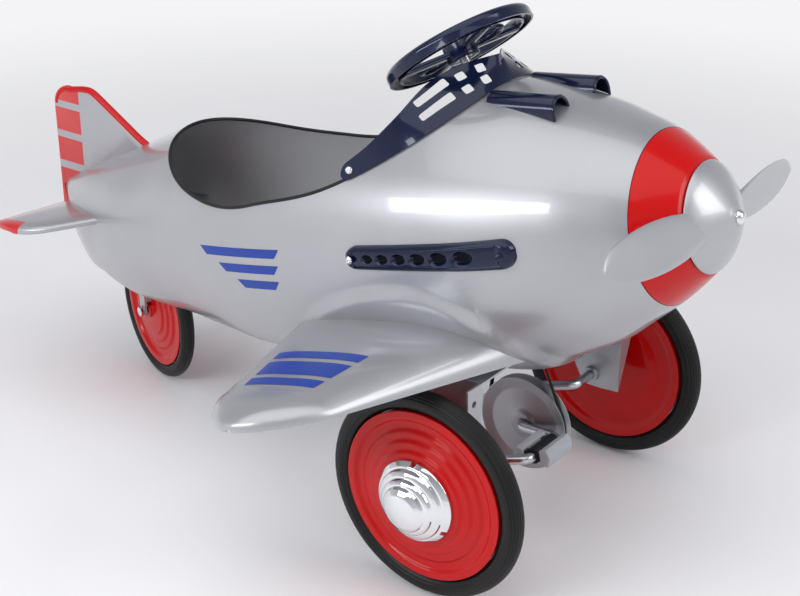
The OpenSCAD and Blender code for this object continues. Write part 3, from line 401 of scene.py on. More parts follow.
# %% [markdown]
# ## Fuselage skin
# Each half was stamped from one sheet. Its stations are few, and a smooth curve through them
# gives the section anywhere. The rows run from the cockpit edge over the side to the belly
# opening. Over the wing root the sheet swells into a low arch.

# %% Fuselage curves
# distance behind the nose tip, height above the axis, depth below it, half width
STATIONS = np.array([
    [0, 22, 22, 22], [40, 61, 61, 61], [83, 95, 95, 95], [120, 113, 118, 116], [160, 129, 141, 135],
    [240, 152, 165, 160], [320, 165, 173, 169], [430, 174, 178, 172], [540, 172, 176, 171],
    [640, 158, 168, 160], [720, 138, 152, 140], [800, 116, 137, 116], [880, 96, 127, 94],
    [940, 82, 119, 72], [1000, 67, 103, 46], [1045, 54, 62, 18], [1064, 46, 40, 1.2]], float)


def fair(d, column, table=STATIONS):
    """Smooth curve through one column of a table."""
    d = np.asarray(d, float)
    x, y = table[:, 0], table[:, column]
    slope = np.empty(len(x))
    slope[1:-1] = (y[2:] - y[:-2]) / (x[2:] - x[:-2])
    slope[0], slope[-1] = (y[1] - y[0]) / (x[1] - x[0]), (y[-1] - y[-2]) / (x[-1] - x[-2])
    i = np.clip(np.searchsorted(x, d, side="right") - 1, 0, len(x) - 2)
    h = x[i + 1] - x[i]
    t = (d - x[i]) / h
    return (y[i] * (2 * t**3 - 3 * t**2 + 1) + slope[i] * h * (t**3 - 2 * t**2 + t)
            + y[i + 1] * (3 * t**2 - 2 * t**3) + slope[i + 1] * h * (t**3 - t**2))


def half_w(d):
    return fair(d, 3)


def skin(d, a, g=0.0):
    """Point of the skin at distance d behind the nose and angle a from the top, g proud of it."""
    d, a = np.broadcast_arrays(np.asarray(d, float), np.asarray(a, float))
    tall = np.where(np.cos(a) > 0, fair(d, 1), fair(d, 2))
    return xyz(-d, -np.maximum(0.3, half_w(d) + g) * np.sin(a), (tall + g) * np.cos(a))


def skin_y(d, v):
    tall = np.where(np.asarray(v) > 0, fair(d, 1), fair(d, 2))
    return half_w(d) * np.sqrt(np.maximum(0.01, 1 - (v / tall) ** 2))


def skin_top(d, y):
    return fair(d, 1) * np.sqrt(np.maximum(0.01, 1 - (y / half_w(d)) ** 2))


def oval(d, a, mid, b, half, e):
    """Half width of an opening from a to b that is widest at mid."""
    reach = np.where(d < mid, mid - a, b - mid)
    u = np.clip(np.abs((d - mid) / reach), 0, 1)
    return half * (1 - u**e) ** (1 / e)


# %% Openings of the fuselage
# the skin runs from the cowl to the tail end
SKIN_FRONT, SKIN_BACK = 83.0, 1064.0
# the largest share of the half width that the cockpit and the lower openings may take
PIT_SHARE, LOW_SHARE = 0.97, 0.8
# the cockpit's front, widest place, rear and half width
PIT = (268.0, 540.0, 772.0, 159.5)
# the belly opening's front, rear and half width
BELLY = (250.0, 600.0, 84.0)
# the tail wheel's well: its middle over the wheel, its reach forward and aft, its half width
WELL_MID = (NOSE_X - TAIL_X) * cos(TILT) + (NOSE_H - 1.5 * TAIL_R) * sin(TILT)
WELL = (112.0, 108.0, 50.0)


def top_angle(d):
    """Angle from the top at which the skin starts, beside the cockpit."""
    e = np.where(d < PIT[1], 2.6, 2.1)
    return np.arcsin(np.minimum(PIT_SHARE, oval(d, *PIT, e) / half_w(d)))


def low_angle(d):
    """Angle from the top at which the skin ends, beside the openings below."""
    belly = oval(d, BELLY[0], sum(BELLY[:2]) / 2, BELLY[1], BELLY[2], 3.5)
    well = oval(d, WELL_MID - WELL[0], WELL_MID, WELL_MID + WELL[1], WELL[2], 5.0)
    return np.pi - np.arcsin(np.minimum(LOW_SHARE, (belly + well) / half_w(d)))


def near_end(e, way, reach, steps=14):
    """Stations that crowd towards the end e of an opening."""
    return e + way * reach * (np.arange(steps) / (steps - 1)) ** 2


stops = np.unique(np.round(np.concatenate([
    np.arange(SKIN_FRONT, SKIN_BACK, 9.0), [SKIN_BACK], near_end(PIT[0], 1, 40), near_end(PIT[2], -1, 70),
    near_end(BELLY[0], 1, 30), near_end(BELLY[1], -1, 30),
    near_end(WELL_MID - WELL[0], 1, 26), near_end(WELL_MID + WELL[1], -1, 26)]), 2))
print("fuselage stations:", len(stops))

# %% Fuselage halves
SHEET = 1.6
ARCH_D, ARCH_V, ARCH_FRONT, ARCH_REAR, ARCH_TALL, ARCH_PROUD = 345.0, -146.0, 128.0, 190.0, 116.0, 7.0


def smooth(lo, hi, x):
    """Rises gently from 0 at lo to 1 at hi."""
    t = np.clip((x - lo) / (hi - lo), 0, 1)
    return t * t * (3 - 2 * t)


def arch(p):
    """How far the sheet stands out over the wing root."""
    d, v = -p[..., 0], p[..., 2]
    u = (d - ARCH_D) / np.where(d < ARCH_D, ARCH_FRONT, ARCH_REAR)
    w = np.maximum(0, v - ARCH_V) / ARCH_TALL
    rho = np.hypot(u, w)
    return ARCH_PROUD * (1 - smooth(0.88, 1.03, rho)) * (1 - 0.45 * (1 - smooth(0.35, 0.8, rho)))


def half_skin(count=72):
    share = np.linspace(0, 1, count)
    a = top_angle(stops)[:, None] * (1 - share) + low_angle(stops)[:, None] * share
    d = np.repeat(stops[:, None], count, 1)
    return skin(d, a, arch(skin(d, a)))


rows = half_skin()
both_sides("fuselage_skin", sheet(rows), [SILVER, INSIDE], "silver_paint", "fuselage", False, skin=SHEET)
print("fuselage rows:", rows.shape)

# %% [markdown]
# ## Cockpit edging
# The cockpit opening ends in a rolled hem. A thin black bead laid along it is painted shade:
# it stands for the dark line under the hem and the shadow inside the far edge. It follows the
# same edge curve as the sheet, so it is one closed bar along that curve.

# %% Edging
d = near_end(PIT[0], 1, PIT[1] - PIT[0], 60)
d = np.concatenate([d, near_end(PIT[2], -1, PIT[2] - PIT[1], 60)[::-1][1:]])
edge = skin(d, top_angle(d), -0.6)
loop = np.concatenate([edge, mirrored(edge)[::-1][1:-1]])
# a black bead along the rim as painted shade of the rolled hem
piece("cockpit_edging", tube(loop, 2.2, 10, True), [RIM_SHADE_BEAD], "airframe", "belt_rubber", at=in_body)
print("edging points:", len(loop))

# %% [markdown]
# ## Nose cowl
# The red cowl ring closes the nose. It is round, so a spun profile with small rounded
# corners is the shortest way, with a rolled front lip and a sleeve inside the fuselage.

# %% Cowl
COWL_FRONT, COWL_BACK, SLEEVE_END, COWL_BORE = 40.0, 82.7, 97.0, 9.0
d = np.linspace(COWL_FRONT, COWL_BACK, 14)
cowl = [[COWL_BORE, COWL_FRONT], [half_w(COWL_FRONT) - 3, COWL_FRONT]]
cowl += [[float(half_w(x)), x] for x in d[1:]]
cowl += [[float(half_w(x)) - inset, x]
         for x, inset in ((COWL_BACK, 3.4), (SLEEVE_END, 3.4), (SLEEVE_END, 5), (COWL_FRONT + 2, 3.5))]
cowl += [[COWL_BORE, COWL_FRONT + 1.6]]
piece("cowl_ring", spun(rounded(cowl, 1.2, 3)), [RED], "airframe", "red_paint", ["nose_cowl"], on_axis)
print("cowl ring from", COWL_FRONT, "to", COWL_BACK, "mm behind the nose tip")

# %% [markdown]
# ## Wings
# Each wing is a hollow pressing, open below, with a domed top that turns down at its edges.
# The rows run from the fuselage side to the tip. They start a little under the fuselage skin,
# so the joint is tight from above and nothing of the wing shows inside the cockpit.

# %% Wings
WING_HALF, WING_ROOT, WING_TURN = 405.0, 80.0, 330.0
WING_LEAD, LEAD_SWEEP, WING_TRAIL, TRAIL_SWEEP = 228.0, 0.34, 567.0, 0.366
ROOT_DEEP, TIP_DEEP, WING_LOW, WING_RISE = 74.0, 26.0, -138.0, 0.105


def wing_point(q, c):
    """Point of the wing at span q and share c of its half chord."""
    out = q - WING_ROOT
    lead, trail = WING_LEAD + out * LEAD_SWEEP, WING_TRAIL - out * TRAIL_SWEEP
    u = np.clip((q - WING_TURN) / (WING_HALF - WING_TURN), 0, 1)
    deep = ROOT_DEEP + (TIP_DEEP - ROOT_DEEP) * np.clip(out / (WING_TURN - WING_ROOT), 0, 1)
    dome = deep * (1 - u**2) ** 0.4 * (1 - np.abs(c) ** 3) ** 0.45
    back = (lead + trail) / 2 + (trail - lead) / 2 * np.sqrt(1 - u**2) * c
    return xyz(-back, -q, WING_LOW + out * WING_RISE + dome)


def meet_skin(point, low, high):
    """The span, between two bounds, at which a surface comes out of the fuselage skin."""
    for _ in range(40):
        q = (low + high) / 2
        p = point(q)
        out = np.abs(p[:, 1]) > skin_y(np.clip(-p[:, 0], 1, SKIN_BACK - 0.1), p[:, 2]) - 1.0
        low, high = np.where(out, low, q), np.where(out, q, high)
    return high


def wing_grid(spans=64, chords=56):
    c = -np.cos(np.pi * np.arange(chords + 1) / chords)
    root = meet_skin(lambda q: wing_point(q, c), np.full(c.shape, 60.0), np.full(c.shape, 200.0))
    s = np.arange(spans + 1)[:, None] / spans
    q = root + (WING_HALF - 0.2 - root) * (1 - (1 - s) ** 1.8)
    return wing_point(q, np.repeat(c[None, :], spans + 1, 0))


rows = wing_grid()
both_sides("wing_pressing", sheet(rows), [SILVER, INSIDE], "silver_paint", "wing", True, skin=SHEET)
print("wing span to", round(float(-rows[..., 1].min()), 1), "mm")

# %% [markdown]
# ## Tail surfaces
# The stabilizers are thin closed pressings with red tips and a red trailing stripe. The fin and
# rudder are one flat pressing, with red blocks on the rudder and a red bead along the front
# edge and over the top. The paint follows lines on the piece, so the red is chosen by simple
# limits on the place of each point.

# %% Two-colour enamel
def two_tone(name, red_where):
    """Silver enamel that turns red where a list of (axis, sign, limit) groups holds."""
    made = SILVER.copy()
    made.name = name
    tree = made.node_tree
    place = next(n for n in tree.nodes if n.type == "TEX_COORD").outputs["Object"]
    shade = next(n for n in tree.nodes if n.type == "BSDF_PRINCIPLED")
    axes = add(tree, "SeparateXYZ", None, {"Vector": place})
    total = None
    for group in red_where:
        mask = None
        for axis, sign, limit in group:
            test = add(tree, "Math", {1: limit * MM}, {0: axes.outputs[axis]},
                       operation="GREATER_THAN" if sign > 0 else "LESS_THAN")
            mask = test if mask is None else add(tree, "Math", None, {0: mask, 1: test}, operation="MULTIPLY")
        total = mask if total is None else add(tree, "Math", None, {0: total, 1: mask}, operation="MAXIMUM")
    base = shade.inputs["Base Color"].links[0].from_socket
    paint = add(tree, "Mix", {"B": srgb(RED_TONE)}, {"Factor": total, "A": base}, data_type="RGBA")
    tree.links.new(paint.outputs[2], shade.inputs["Base Color"])
    flake = add(tree, "MapRange", {"To Min": SILVER_FLAKE, "To Max": 0.0}, {"Value": total})
    tree.links.new(flake.outputs["Result"], shade.inputs["Metallic"])
    return made


# the front limit of the rudder, and the heights over the floor between which each block is red
RUDDER_X = -473.0
BANDS = ((376, 500), (332, 366), (287, 322), (150, 276))
FIN_PAINT = two_tone("silver_enamel_with_red_rudder_blocks",
                     [[("X", -1, RUDDER_X), ("Z", 1, lo), ("Z", -1, hi)] for lo, hi in BANDS])
print("rudder blocks:", len(BANDS))

# %% Stabilizers
STAB_HALF, STAB_TURN, STAB_LEAD, STAB_TRAIL = 150.0, 126.0, 905.0, 1061.0
STAB_LOW, STAB_THICK, TIP_Y = 18.0, 10.0, 132.0


def stab_point(q, c, side):
    """Point at span q and share c of the half chord; side is 1 above and -1 below."""
    u = np.clip((q - STAB_TURN) / (STAB_HALF - STAB_TURN), 0, 1)
    lead = STAB_LEAD + np.maximum(0, q - 60) * 0.75
    thick = STAB_THICK * (1 - 0.3 * q / STAB_HALF) * (1 - u**2.6) ** 0.4
    back = (lead + STAB_TRAIL) / 2 + (STAB_TRAIL - lead) / 2 * np.sqrt(1 - u**2.6) * c
    v = STAB_LOW + (q - 80) * 0.08 + c * 5 + side * (0.6 + thick * (1 - np.abs(c) ** 3) ** 0.5)
    return xyz(-back, -q, v)


def stab_loop(spans=36, chords=28):
    c = -np.cos(np.pi * np.arange(chords + 1) / chords)
    ring = np.concatenate([c, c[::-1]])
    side = np.concatenate([np.ones(chords + 1), -np.ones(chords + 1)])
    root = meet_skin(lambda q: stab_point(q, ring, side), np.zeros(ring.shape), np.full(ring.shape, 140.0))
    s = np.arange(spans + 1)[:, None] / spans
    q = root + (STAB_HALF - 0.6 - root) * (1 - (1 - s) ** 1.7)
    return stab_point(q, np.repeat(ring[None, :], spans + 1, 0), side[None, :])


rows = stab_loop()
n, m = rows.shape[:2]
verts, faces = sheet(rows, False, True)
tail_x, tip_x = in_body(np.array([[-1041.0, 0, 20.0], [-1000.0, 0, 20.0]]))[:, 0].tolist()
STAB_PAINT = two_tone("silver_enamel_with_red_tips",
                      [[("Y", -1, -TIP_Y), ("X", -1, tip_x)], [("Y", 1, TIP_Y), ("X", -1, tip_x)],
                       [("X", -1, tail_x)]])
both_sides("stabilizer_pressing", (verts, faces + [tuple(range((n - 1) * m, n * m))]), [STAB_PAINT],
           "silver_paint", "stabilizer")
print("stabilizer trailing stripe from x =", round(tail_x, 1))

# %% Fin and rudder
FIN_H, FIN_ROUND, FIN_HALF, BEAD_R = 399.0, 30.0, 3.8, 4.8
BACK = -NOSE_X


def fin_arc(r, a):
    """Point of the round upper corner of the rudder, on an arc of radius r."""
    return [BACK + FIN_ROUND - r * cos(a), FIN_H - FIN_ROUND + r * sin(a)]


front_line = [[184, 346], [162, 356], [142, 368], [86, 400], [76, FIN_H + 5.5], [62, FIN_H + 5]]
front_line = [[BACK + x - 2.6, z - BEAD_R] for x, z in front_line]
top_line = [fin_arc(FIN_ROUND, a) for a in np.radians(range(100, -1, -10))]
inside = [[-1062.0, 0, v] for v in (-8.0, 0.0, 22.0, 44.0)]
inside += [[-x, 0, float(fair(x, 1)) - 3] for x in range(1050, 870, -20)]
tail_line = in_body(np.array(inside))[:, [0, 2]].tolist()
outline = np.array(front_line + top_line + [[BACK, 216.0], [BACK + 12, 196.0]] + tail_line)


def plate(loop, half, ease=2.0):
    """A flat plate across Y with eased edges, from a closed outline in X and Z."""
    way = np.roll(loop, -1, 0) - np.roll(loop, 1, 0)
    normal = unit(np.stack([way[:, 1], -way[:, 0]], 1))
    area = np.sum(loop[:, 0] * np.roll(loop[:, 1], -1) - np.roll(loop[:, 0], -1) * loop[:, 1])
    normal *= 1 if area > 0 else -1
    rings = []
    for inset, y in ((ease, half), (ease * 0.3, half - ease * 0.3), (0, half - ease), (0, ease - half),
                     (ease * 0.3, ease * 0.3 - half), (ease, -half)):
        p = loop - normal * inset
        rings.append(xyz(p[:, 0], y, p[:, 1]))
    return capped(np.array(rings))


piece("fin_and_rudder", plate(outline, FIN_HALF), [FIN_PAINT], "airframe", "silver_paint", ["tail_fin"])
bead_top = [fin_arc(FIN_ROUND - 4.5, a) for a in np.radians(range(100, 0, -12))]
bead = np.array([[x, 0, z] for x, z in front_line + bead_top])
piece("fin_leading_bead", tube(rounded(bead, 16, 6, False), BEAD_R, 16), [RED], "airframe", "red_paint")
print("fin outline points:", len(outline))

# %% [markdown]
# ## Windshield
# A raked sheet of blue enamelled steel wraps the front of the cockpit. Its foot follows the
# fuselage skin and its upper edge is a curve of its own; straight lines join the two. The two
# legs end round. Small rounded windows are punched through: a Boolean with rounded punches
# does what the press did.

# %% Windshield sheet
SHIELD_MID, SHIELD_LONG, SHIELD_WIDE, SHIELD_BEND, LEG_BACK = 540.0, 279.0, 160.5, 1.3, 402.0
SHIELD_END = degrees(acos(((SHIELD_MID - LEG_BACK) / SHIELD_LONG) ** SHIELD_BEND))
LEG_ROUND = 2.6
# turn in degrees, then distance behind the nose, distance to the side and height of the upper edge
SHIELD_TOPS = np.array([[0, 271, 0, 187], [15, 298, 41, 184], [30, 319, 76, 173], [46, 337, 120, 147],
                        [56, 366, 138, 123], [SHIELD_END, 402, 149, 102]], float)


def shield(f, t):
    """Point of the sheet at turn f, in degrees, and share t of its height."""
    f, t = np.broadcast_arrays(np.asarray(f, float), np.asarray(t, float))
    c, s = np.cos(np.radians(f)), np.sin(np.radians(f))
    d = SHIELD_MID - SHIELD_LONG * c ** (1 / SHIELD_BEND)
    y = -SHIELD_WIDE * np.sign(s) * np.abs(s) ** (1 / SHIELD_BEND)
    foot = xyz(-d, y, skin_top(d, y) + 0.9)
    g = np.abs(f)
    back, out, tall = [fair(g, k, SHIELD_TOPS) for k in (1, 2, 3)]
    edge = xyz(-back, -np.sign(f) * out, tall)
    return foot + (edge - foot) * t[..., None]


def shield_axes(f, t):
    """Directions along the sheet, up it and out of it."""
    along = shield(f - 1, t) - shield(f + 1, t)
    rise = shield(f, 1.0) - shield(f, 0.0)
    along, out = unit(along), unit(np.cross(along, rise))
    return along, np.cross(out, along), out


f = np.linspace(SHIELD_END - LEG_ROUND, LEG_ROUND - SHIELD_END, 115)
end = SHIELD_END - LEG_ROUND + LEG_ROUND * np.sin(np.radians(np.arange(9, 91, 9)))
f, t = np.meshgrid(np.concatenate([end[::-1], f, -end]), np.linspace(0, 1, 13), indexing="ij")
past = np.maximum(0, np.abs(f) - SHIELD_END + LEG_ROUND) / LEG_ROUND
round_end = np.sqrt(np.maximum(0.0004, 1 - past ** 2))
screen = piece("windshield_sheet", sheet(shield(f, 0.5 + (t - 0.5) * round_end)), [BLUE], "airframe",
               "blue_paint", ["windshield"], in_body, skin=SHEET, flip=True, crisp=False)
print("windshield turns", round(SHIELD_END, 1), "degrees to each side")


# %% Windows
def punch(f, t, w, h, taper=1.0):
    """A rounded prism through the sheet; taper narrows its rear end."""
    x, y, z = shield_axes(f, t)
    front, rear = h / 2, h / 2 * taper
    left, right = (rear, front) if f > 0 else (front, rear)
    corners = rounded([[-w / 2, -left], [w / 2, -right], [w / 2, right], [-w / 2, left]], 3.0, 4)
    p = shield(f, t)
    return capped(np.array([[p + x * a + y * b + z * g for a, b in corners] for g in (-9.0, 9.0)]))


cuts = [punch(k * f, t, 12, 11) for k in (-1, 1) for f in (8.5, 16.5) for t in (0.37, 0.74)]
cuts += [punch(k * 30, t, 45, 12, 0.75) for k in (-1, 1) for t in (0.42, 0.77)]


def cut_out(target, shapes, at):
    """Takes closed shapes out of a piece and keeps the result as its mesh."""
    verts, faces = join(*shapes)
    mesh = bpy.data.meshes.new("punches")
    mesh.from_pydata((at(verts) * MM).tolist(), [], faces)
    work = bmesh.new()
    work.from_mesh(mesh)
    bmesh.ops.recalc_face_normals(work, faces=work.faces)
    work.to_mesh(mesh)
    work.free()
    tool = bpy.data.objects.new("punches", mesh)
    scene.collection.objects.link(tool)
    cut = target.modifiers.new("cut", "BOOLEAN")
    cut.object, cut.solver = tool, "EXACT"
    bpy.context.view_layer.update()
    done = bpy.data.meshes.new_from_object(target.evaluated_get(bpy.context.evaluated_depsgraph_get()))
    target.modifiers.clear()
    target.data = done
    done.polygons.foreach_set("use_smooth", [True] * len(done.polygons))
    done.set_sharp_from_angle(angle=radians(35))
    bpy.data.objects.remove(tool)


cut_out(screen, cuts, in_body)
print("windows punched:", len(cuts), "faces:", len(screen.data.polygons))

# %% [markdown]
# ## Screws
# Round-headed slotted screws hold the windshield and the exhaust panels. One spun head with
# a slot, turned to face out of its panel, serves for all of them. Most are bright; the front
# ones of the exhaust panels were sprayed over.

# %% Screws
def facing(out, origin):
    """Maps a piece that stands on Z to stand along a unit direction at a place."""
    x = unit(np.cross([0.2, 0.9, 0.3], out))
    y = np.cross(out, x)
    return lambda p: origin + p[:, :1] * x + p[:, 1:2] * y + p[:, 2:3] * out


def screw_head(r=4.5):
    dome = [[0.01, 0], [r, 0], [r, 0.8], [r * 0.93, 1.5], [r * 0.8, 2.1], [r * 0.55, 2.7], [r * 0.3, 2.95],
            [0.01, 3.0]]
    verts, faces = spun(dome, 40)
    slot = (np.abs(verts[:, 0]) < 0.65) & (verts[:, 2] > 1.0)
    verts[slot, 2] -= 0.9
    return verts, faces


heads = []
f = SHIELD_END - 3
x, y, z = shield_axes(f, 0.5)
verts, faces = screw_head()
heads.append((facing(z, shield(f, 0.5) + z * 1.9)(verts), faces))
heads.append((mirrored(heads[0][0]), faces))
piece("windshield_screw_heads", join(*heads), [CHROME], "airframe", "chrome_plate", ["windshield_screws"],
      in_body)
print("windshield screws:", len(heads))

# %% [markdown]
# ## Gun troughs
# Two arched covers lie on the deck in front of the windshield. Each is bent from one strip, with
# a rolled front lip. It rises towards the windshield, and its lower edges follow the deck.

# %% Troughs
TROUGH_R, TROUGH_Y, TROUGH_TOP, TROUGH_RISE = 15.0, 42.0, 145.5, tan(radians(5.7))


def trough_rows(front=175.4, back=258.3, steps=24):
    rows = []
    for d in np.linspace(front, back, steps):
        a = np.radians(np.linspace(180, 0, 25))
        axis = TROUGH_TOP - TROUGH_R + (d - front) * TROUGH_RISE
        arc = xyz(-d, -TROUGH_Y + TROUGH_R * np.cos(a), axis + TROUGH_R * np.sin(a))
        legs = []
        for y in (-TROUGH_Y - TROUGH_R, -TROUGH_Y + TROUGH_R):
            low = min(float(skin_top(d, y)) + 0.3, axis - 1)
            legs.append([[-d, y, v] for v in np.linspace(low, axis, 5)[:-1]])
        rows.append(np.concatenate([legs[0], arc, legs[1][::-1]]))
    return np.array(rows)


rows = trough_rows()
lip = tube(rows[0] + np.array([0.6, 0, -0.8]), 1.7, 10)
both_sides("trough_cover", sheet(rows), [BLUE], "blue_paint", "gun_trough", False, skin=SHEET)
both_sides("trough_lip", lip, [BLUE], "blue_paint")
print("troughs:", rows.shape)

# %% [markdown]
# ## Exhaust panels
# A long raised panel on each side of the nose has six round pockets that grow towards the
# front. Panel and pockets were struck in one blow, so one fine sheet carries both: a height
# over the skin that rises at the edge and dips at each pocket. The middle of each pocket is
# painted near black as painted shade; the pockets themselves are dark blue like the panel.

# %% Exhausts
STACK_FRONT, STACK_BACK, STACK_MID, STACK_PROUD, STACK_GAP = 188.0, 396.0, 6.0, 11.0, 0.3
# distance behind the nose tip and radius of each pocket
POCKETS = [(245.0, 10.5), (273.0, 9.5), (299.0, 8.6), (323.0, 7.8), (345.0, 7.0), (365.0, 6.4)]


def stack_shell(t, c):
    """Distance, height and rise of the plain panel at share t of its length and c of its half height."""
    d = STACK_FRONT + (STACK_BACK - STACK_FRONT) * t
    past = np.maximum(0, np.abs(2 * t - 1) - 0.86)
    half = (16.5 - 3.5 * t) * np.sqrt(np.maximum(0, 1 - past ** 2 / 0.021))
    rise = np.sqrt(1 - c**4) * np.sqrt(np.maximum(0, 1 - (2 * t - 1) ** 20))
    return d, STACK_MID + c * half, 1 + (STACK_PROUD - 1) * rise


def on_stack(d, v, rise):
    return xyz(-d, -(skin_y(d, v) + STACK_GAP + rise), v)


def stack_rows(n=200, m=41):
    t = (1 - np.cos(np.pi * np.arange(n) / (n - 1))) / 2
    c = 1 - 2 * np.arange(m) / (m - 1)
    t, c = np.meshgrid(t, c, indexing="ij")
    d, v, rise = stack_shell(t, c)
    field = smooth(0.72, 0.58, np.abs(c)) * smooth(0.05, 0.09, t) * smooth(0.97, 0.93, t)
    rise = rise - 3.0 * field
    dark = np.zeros(rise.shape)
    for at, r in POCKETS:
        rho = np.hypot((d - at) / np.where(d < at, r * 1.5, r), (v - STACK_MID) / (r * 0.82))
        rise = rise - 6.0 * smooth(1.0, 0.55, rho) * np.sqrt(r / POCKETS[0][1])
        # the middle of each pocket is marked for near-black paint: painted shade
        dark = np.maximum(dark, rho < 0.62)
    return on_stack(d, v, np.maximum(rise, 0.2)), on_stack(d, v, 0.0), dark


rows, base, dark = stack_rows()
shape = join(sheet(rows), sheet(base[:, ::-1]))
painted_shade_faces = [bool(dark[i, j]) for i in range(rows.shape[0] - 1) for j in range(rows.shape[1] - 1)]
# near-black paint inside the pockets is painted shade, not a colour of the panel
POCKET_PAINTED_SHADE = enamel("black_shadow_paint_in_pockets", "#080a12", "#05060b", 0.0, 0.5, 0.0, level=0.1)
for made in both_sides("exhaust_panel", shape, [BLUE, POCKET_PAINTED_SHADE], "blue_paint", "exhaust", False, sharp=50):
    for poly, tone in zip(made.data.polygons, painted_shade_faces):
        poly.material_index = int(tone)
print("exhaust pockets on each side:", len(POCKETS))

# %% Exhaust screws
def stack_top(t, c):
    return on_stack(*stack_shell(np.float64(t), np.float64(c)))


heads = []
for t in (0.06, 0.95):
    across = stack_top(t, -0.2) - stack_top(t, 0.2)
    out = unit(np.cross(across, stack_top(t - 0.02, 0) - stack_top(t + 0.02, 0)))
    verts, faces = screw_head()
    heads.append((facing(out, stack_top(t, 0) + out * 0.6)(verts), faces))
heads += [(mirrored(v), f) for v, f in heads]
piece("exhaust_screw_heads", join(*heads[1::2]), [CHROME], "airframe", "chrome_plate", ["exhaust_screws"],
      in_body)
piece("exhaust_front_screws_painted", join(*heads[0::2]), [BLUE], "airframe", "blue_paint", at=in_body)
print("exhaust screws:", len(heads))

# %% [markdown]
# ## Wheels
# The front wheels are pressed discs with concentric steps, sprayed red, in solid rubber tyres.
# Everything is round, so each is a spun profile. The tread has fine grooves running round it,
# and a groove line on the side wall. Grooves are cut in, so the tyre keeps its radius.

# %% Wheel profiles
def tyre_profile(big, small, grooves=9, cut=0.7, steps=180):
    """Section of a tyre of outer radius big and section radius small, with its grooves."""
    a = np.arange(steps) * 2 * np.pi / steps
    r = np.full(steps, small)
    lines = [(g, cut, 0.045) for g in np.linspace(-64, 64, grooves)]
    lines += [(g, 0.6, 0.06) for g in (112, -112)]
    for turn, deep, wide in lines:
        off = np.abs((a - np.radians(turn) + np.pi) % (2 * np.pi) - np.pi)
        r -= deep * np.exp(-(off / wide) ** 2)
    return np.stack([big - small + r * np.cos(a), r * np.sin(a)], 1)


FACE = 20.0
disc = [[6, FACE], [56, FACE], [60, FACE - 4], [67, FACE - 4], [71, FACE - 8], [78, FACE - 8],
        [82, FACE - 12], [90, FACE - 12], [94, FACE - 8], [103, FACE - 9], [103, FACE - 11],
        [101.5, FACE - 12], [101.5, -10], [103, -10.5], [103, -12], [94, -11], [88, -8], [70, -8],
        [62, -10], [13, -10], [13, -8], [6, -8]]
cap_line = [[50, 0], [50, 3.6], [45, 8.6], [42.5, 9], [41, 13], [36.5, 15.6], [34.2, 16], [33, 20],
            [29.5, 22.2], [27.6, 22.5], [26, 26], [20, 30], [10, 32.5], [0.01, 33], [0.01, 31.4],
            [19, 28.4], [24.5, 25], [26, 21], [31.5, 19], [33, 14.8], [39.5, 12], [41, 7.8],
            [48.4, 3], [48.4, 0]]


def hubcap():
    """A stepped cap with three small notches in its rim."""
    verts, faces = spun(rounded(cap_line, 1.4, 4), 180)
    turn = np.degrees(np.arctan2(verts[:, 1], verts[:, 0]))
    r = np.hypot(verts[:, 0], verts[:, 1])
    for notch in (-30, 90, -150):
        near = (np.abs((turn - notch + 180) % 360 - 180) < 3.2) & (r > 45.5)
        verts[near, :2] *= (45.0 / r[near])[:, None]
    verts[:, 2] += FACE + 0.3
    return verts, faces


print("corners of the disc:", len(disc), "of the hubcap:", len(cap_line))

# %% Front wheels
tyre = spun(tyre_profile(WHEEL_R, 12.5), 128)
wheel = spun(rounded(disc, 2.2, 4), 144)
cap = hubcap()
for hand, body, at in (("right", "crank", on_wheel), ("left", "left_wheel", lambda p: mirrored(on_wheel(p)))):
    piece("tyre_" + hand, tyre, [TYRE], body, "black_rubber", ["front_tyre_" + hand], at, sharp=60)
    piece("wheel_disc_" + hand, wheel, [RED], body, "red_paint", ["front_wheel_" + hand], at)
    piece("hubcap_dome_" + hand, cap, [CHROME], body, "chrome_plate", ["hubcap_" + hand], at)
print("front wheel radius", WHEEL_R, "mm")

# %% Tail wheel
rim = TAIL_R - 20
half = [[4.1, 17], [11, 17], [11, 13], [36, 13], [39, 10], [47, 10], [50, 7], [58, 7], [61, 4], [70, 4],
        [74, 8], [rim + 1, 8], [rim + 1, 6.5], [rim - 0.4, 6]]
tail_disc = half + [[r, -z] for r, z in half[::-1]]
piece("tail_tyre_ring", spun(tyre_profile(TAIL_R, 10.0, 7, 0.6), 112), [TYRE], "tail_roller", "black_rubber",
      ["tail_tyre"], on_tail, sharp=60)
piece("tail_wheel_disc", spun(rounded(tail_disc, 1.6, 4), 120), [RED], "tail_roller", "red_paint",
      ["tail_wheel"], on_tail)
print("tail wheel radius", TAIL_R, "mm")

# %% [markdown]
# ## Crank, pulley and belt
# The child pedals a bent axle with two opposed throws. A spun pulley in its middle drives the
# propeller shaft by a round belt with a quarter turn. Bars are tubes along a path whose
# corners are rounded the way a bending tool would leave them.

# %% Crank axle
AXLE_R, THROW, CRANK_TURN, AXLE_END = 6.0, 58.0, radians(7), 232.0
PIN_IN, PIN_OUT = 22.0, 84.0


def on_crank(p):
    x, z = turned(p[..., 0], p[..., 2], CRANK_TURN)
    return xyz(AXLE_X + x, p[..., 1], WHEEL_R + z)


path = [[0, -AXLE_END, 0], [0, -PIN_OUT - 30, 0], [THROW, -PIN_OUT, 0], [THROW, -PIN_IN, 0],
        [0, 8 - PIN_IN, 0], [0, PIN_IN - 8, 0], [-THROW, PIN_IN, 0], [-THROW, PIN_OUT, 0],
        [0, PIN_OUT + 30, 0], [0, AXLE_END, 0]]
piece("crank_bar", tube(rounded(path, 9, 10, False), AXLE_R, 24), [DRAWN], "crank", "chrome_plate",
      ["crank_axle"], on_crank)
print("crank throw", THROW, "mm")

